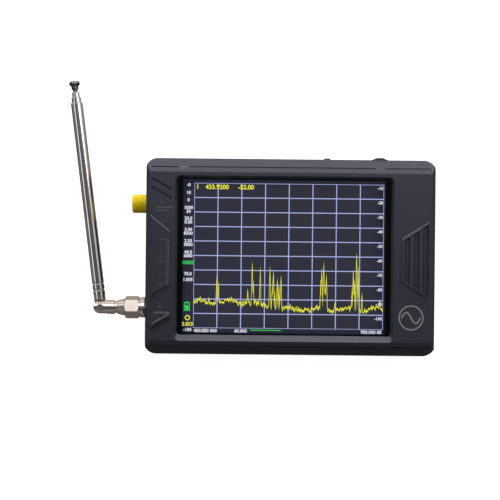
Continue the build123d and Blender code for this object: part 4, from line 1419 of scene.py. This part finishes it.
    def draw_status(self) -> None:
        """The green count, sweep bar and battery, and the yellow dot over the charge."""
        x = self.notes_x
        green = [
            *self.write(self.status, [("10000", x, self.count_y)], Anchor.CENTRE),
            *self.bars(0.0, 0.0, [self.sweep_bar]),
            *self.bars(*self.cell_place, self.cell_bars),
        ]
        self.show(green, "picture_status", Light.GREEN)
        dot_place = self.at(x, self.dot_y, self.dot_lift)
        yellow = [
            Bench.ring("dot", dot_place, self.dot_radius, self.dot_line, self.bar_depth),
            *self.write(self.status, [("3.853", x, self.charge_y)], Anchor.CENTRE),
        ]
        self.show(yellow, "picture_charge", Light.YELLOW)

    def draw_readout(self) -> None:
        """The marker's figures over the grid and the sweep's figures under it."""
        lines = [(text, x, self.marker_y) for text, x in self.marker_columns]
        self.show(self.write(self.marker, lines), "picture_marker", Light.YELLOW)
        text, x = self.sweep_end
        lines = [(text, x, self.sweep_y) for text, x in self.sweep_columns]
        sweep = self.write(self.sweep, lines)
        sweep += self.write(self.sweep, [(text, x, self.sweep_y)], Anchor.RIGHT)
        self.show(sweep, "picture_sweep", Light.WHITE)


# ---------------------------------------------------------------- switches, jacks and antenna
@dataclass
class Switches(Assembly):
    """The power slide switch and the jog switch on the upper edge."""

    FINISHES: ClassVar[NodesOf] = {
        KNOB_PLASTIC: ("power_slider", "jog_wheel"),
        STEEL: ("power_switch_body",),
        BLACK_PLASTIC: ("jog_carriage", "jog_housing"),
    }
    rib: Triple = (0.22, 0.12, 1.2)
    rib_pitch: float = 0.5
    ribs: int = 3

    def build(self) -> None:
        """Dress the switches and add the ribs on the slide knob."""
        super().build()
        low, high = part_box("power_slider")
        middle_x = (low.x + high.x) / 2
        middle_z = (low.z + high.z) / 2
        marks = []
        for index in range(self.ribs):
            x = middle_x + (index - (self.ribs - 1) / 2) * self.rib_pitch * MM
            marks.append(Bench.bar(Vector((x, high.y, middle_z)), self.rib))
        Bench.dress(Bench.join(marks, "knob_ribs"), KNOB_PLASTIC, "power_slider", "switch_plastic")


@dataclass
class Fittings(Assembly):
    """The coaxial jacks, the dust cap and the sockets on the upper edge."""

    FINISHES: ClassVar[NodesOf] = {
        GOLD: ("cal_jack", "cal_jack_contact", "rf_jack", "rf_jack_contact"),
        PTFE: ("cal_jack_insulator", "rf_jack_insulator"),
        CAP: ("dust_cap",),
        STEEL: ("usb_socket", "memory_card_socket"),
        BLACK_PLASTIC: ("usb_tongue", "headphone_jack"),
    }


@dataclass
class Antenna(Assembly):
    """The coupling nut, the hinged plug and the telescopic rod."""

    PLUG: ClassVar[tuple[str, ...]] = ("coupling_nut", "plug_barrel", "rod_knuckle")
    ROD: ClassVar[tuple[str, ...]] = (
        "antenna_tube_lower", "antenna_tube_middle", "antenna_tube_upper",
    )
    FINISHES: ClassVar[NodesOf] = {
        NICKEL: PLUG,
        CHROME: ROD,
        PTFE: ("plug_insulator",),
        GOLD: ("plug_pin",),
        STEEL: ("pivot_rivet",),
        DARK_CHROME: ("antenna_tip",),
    }


@dataclass
class Interior(Assembly):
    """The board with its parts and the battery."""

    FINISHES: ClassVar[NodesOf] = {
        BOARD: ("main_board",),
        STEEL: ("board_screws",),
        TINPLATE: ("shield_fences", "shield_lids"),
        CHIP: ("rf_chips", "processor", "power_chips"),
        CELL_FILM: ("battery",),
        TAPE: ("battery_tape",),
        WHITE_PLASTIC: ("battery_plug", "battery_socket"),
    }

    def build(self) -> None:
        """Dress everything on the board and the battery."""
        super().build()
        low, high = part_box("battery_leads")
        parting = ((low + high) / 2).x / MM
        self.dress({LeadPair("lead", parting): ("battery_leads",)})


# ---------------------------------------------------------------- studio
@dataclass(frozen=True)
class SoftBox:
    """One soft light: where it hangs, its sizes in metres and its power in watts."""

    name: str
    place: Triple
    width: float
    height: float
    power: float
    colour: Colour = (1.0, 1.0, 1.0)


@dataclass
class Studio:
    """The pale floor, the soft lights, the sky and the camera over the instrument."""

    cover: Piece
    metal: Sequence[Piece]
    key: str = "key_box"
    camera_place: Triple = (-0.0161, 0.0027, 0.461)
    camera_turn: float = 0.6
    lens: float = 79.8
    sensor: float = 36.0
    near_clip: float = 0.01
    floor_size: float = 6.0
    floor_gap: float = 0.0001
    drum_radius: float = 2.9
    drum_height: float = 5.0
    drum_middle: float = 2.4
    sky: tuple[tuple[float, Colour], ...] = (
        (0.0, (0.085, 0.08, 0.075)),
        (0.46, (0.14, 0.135, 0.13)),
        (0.52, (0.2, 0.195, 0.19)),
        (0.62, (0.16, 0.155, 0.15)),
        (0.75, (0.1, 0.1, 0.105)),
        (1.0, (0.085, 0.083, 0.085)),
    )
    sky_strength: float = 1.1
    sky_behind: float = 4.8
    boxes: tuple[SoftBox, ...] = (
        SoftBox("key_box", (0.0, 0.75, 0.14), 1.5, 0.24, 10.5),
        SoftBox("top_box", (0.0, 0.33, 0.73), 0.5, 0.14, 0.42),
        SoftBox("brow_box", (0.02, 0.16, 0.25), 0.5, 0.08, 0.38),
        SoftBox("left_box", (-0.58, 0.0, 0.5), 1.1, 0.18, 0.75),
        SoftBox("right_box", (0.55, 0.05, 0.42), 1.0, 0.6, 0.8, (1.0, 0.98, 0.96)),
        SoftBox("near_box", (0.0, -0.55, 0.4), 0.8, 0.1, 0.12),
    )

    def build(self) -> None:
        """Set up the whole studio."""
        self.lay_floor()
        self.hang_backdrop()
        shaded = self.shade("shaded", [self.cover])
        flagged = self.shade("flagged", [self.cover, *self.metal])
        for box in self.boxes:
            lamp = self.hang(box)
            lamp.light_linking.receiver_collection = flagged if box.name == self.key else shaded
        self.paint_sky()
        self.place_camera()
        bpy.context.scene.view_settings.view_transform = "Standard"

    @staticmethod
    def shade(name: str, pieces: Sequence[Piece]) -> bpy.types.Collection:
        """List what a lamp leaves out.

        Args:
            name: The list's name.
            pieces: The pieces that the lamp doesn't light.

        Returns:
            The list, as the collection of receivers that a lamp takes.
        """
        left_out = bpy.data.collections.new(name)
        for piece in pieces:
            left_out.objects.link(piece)
        for member in left_out.collection_objects:
            member.light_linking.link_state = "EXCLUDE"
        return left_out

    @staticmethod
    def set_stage(piece: Piece, *hidden: str) -> None:
        """Dress a piece of the stage and keep it out of some of the rays.

        Args:
            piece: The piece.
            *hidden: The kinds of rays that don't meet it.
        """
        piece.data.materials.append(PaleSheet(f"{piece.name}_paint").material())
        for kind in hidden:
            setattr(piece, f"visible_{kind}", False)

    def lay_floor(self) -> None:
        """A wide pale floor just under the instrument."""
        floor = Bench.start(
            bpy.ops.mesh.primitive_plane_add, "floor",
            size=self.floor_size, location=(0.0, 0.0, -self.floor_gap),
        )
        Bench.settle(floor)
        self.set_stage(floor, "glossy", "diffuse")

    def hang_backdrop(self) -> None:
        """A pale drum far round the floor, which shows only behind the instrument."""
        drum = Bench.start(
            bpy.ops.mesh.primitive_cylinder_add, "backdrop",
            vertices=CIRCLE_SIDES, radius=self.drum_radius, depth=self.drum_height,
            end_fill_type="NOTHING", location=(0.0, 0.0, self.drum_middle),
        )
        Bench.settle(drum)
        Bench.shape(drum, lambda: bpy.ops.mesh.flip_normals())
        self.set_stage(drum, "glossy", "diffuse", "transmission", "shadow")

    def hang(self, box: SoftBox) -> Piece:
        """Hang one soft light and turn it to the instrument.

        Args:
            box: The light.

        Returns:
            The lamp.
        """
        data = bpy.data.lights.new(box.name, "AREA")
        data.shape = "RECTANGLE"
        data.size = box.width
        data.size_y = box.height
        data.energy = box.power
        data.color = box.colour
        lamp = bpy.data.objects.new(box.name, data)
        bpy.context.scene.collection.objects.link(lamp)
        lamp.location = box.place
        lamp.rotation_euler = (-Vector(box.place)).to_track_quat("-Z", "Y").to_euler()
        lamp.visible_camera = False
        return lamp

    def paint_sky(self) -> None:
        """A dim sky with a light band at its horizon, brighter behind the upper edge."""
        world = bpy.data.worlds.new("studio_sky")
        world.use_nodes = True
        bpy.context.scene.world = world
        graph = Graph(world.node_tree)
        direction = graph.wire("ShaderNodeTexCoord", output="Generated")
        split = graph.node("ShaderNodeSeparateXYZ", {}, {0: direction})
        upward = Wire(graph, split.outputs[2]) * 0.5 + 0.5
        ramp = graph.wire("ShaderNodeValToRGB", {"stops": self.sky}, {"Fac": upward})
        behind = Wire(graph, split.outputs[1]).at_least(0.0) * self.sky_behind
        strength = behind + self.sky_strength
        shade = graph.wire("ShaderNodeBackground", {}, {"Color": ramp, "Strength": strength})
        graph.node("ShaderNodeOutputWorld", {}, {"Surface": shade})

    def place_camera(self) -> None:
        """A camera that looks straight down at the instrument."""
        data = bpy.data.cameras.new("camera")
        data.lens = self.lens
        data.sensor_width = self.sensor
        data.sensor_fit = "HORIZONTAL"
        data.clip_start = self.near_clip
        camera = bpy.data.objects.new("camera", data)
        bpy.context.scene.collection.objects.link(camera)
        camera.location = self.camera_place
        camera.rotation_euler = (0.0, 0.0, math.radians(self.camera_turn))
        bpy.context.scene.camera = camera


def main() -> None:
    """Load the frame, build every sub-assembly and set up the studio."""
    logging.basicConfig(level=logging.INFO, format="%(message)s")
    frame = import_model()
    nodes = frame["nodes"]
    for part in (Case, Display, Switches, Fittings, Antenna, Interior):
        part(nodes).build()
        LOG.info("built %s", part.__name__)
    metal = [nodes[name] for name in (*Antenna.PLUG, *Antenna.ROD)]
    Studio(nodes["touch_panel"], metal).build()


if __name__ == "__main__":
    main()
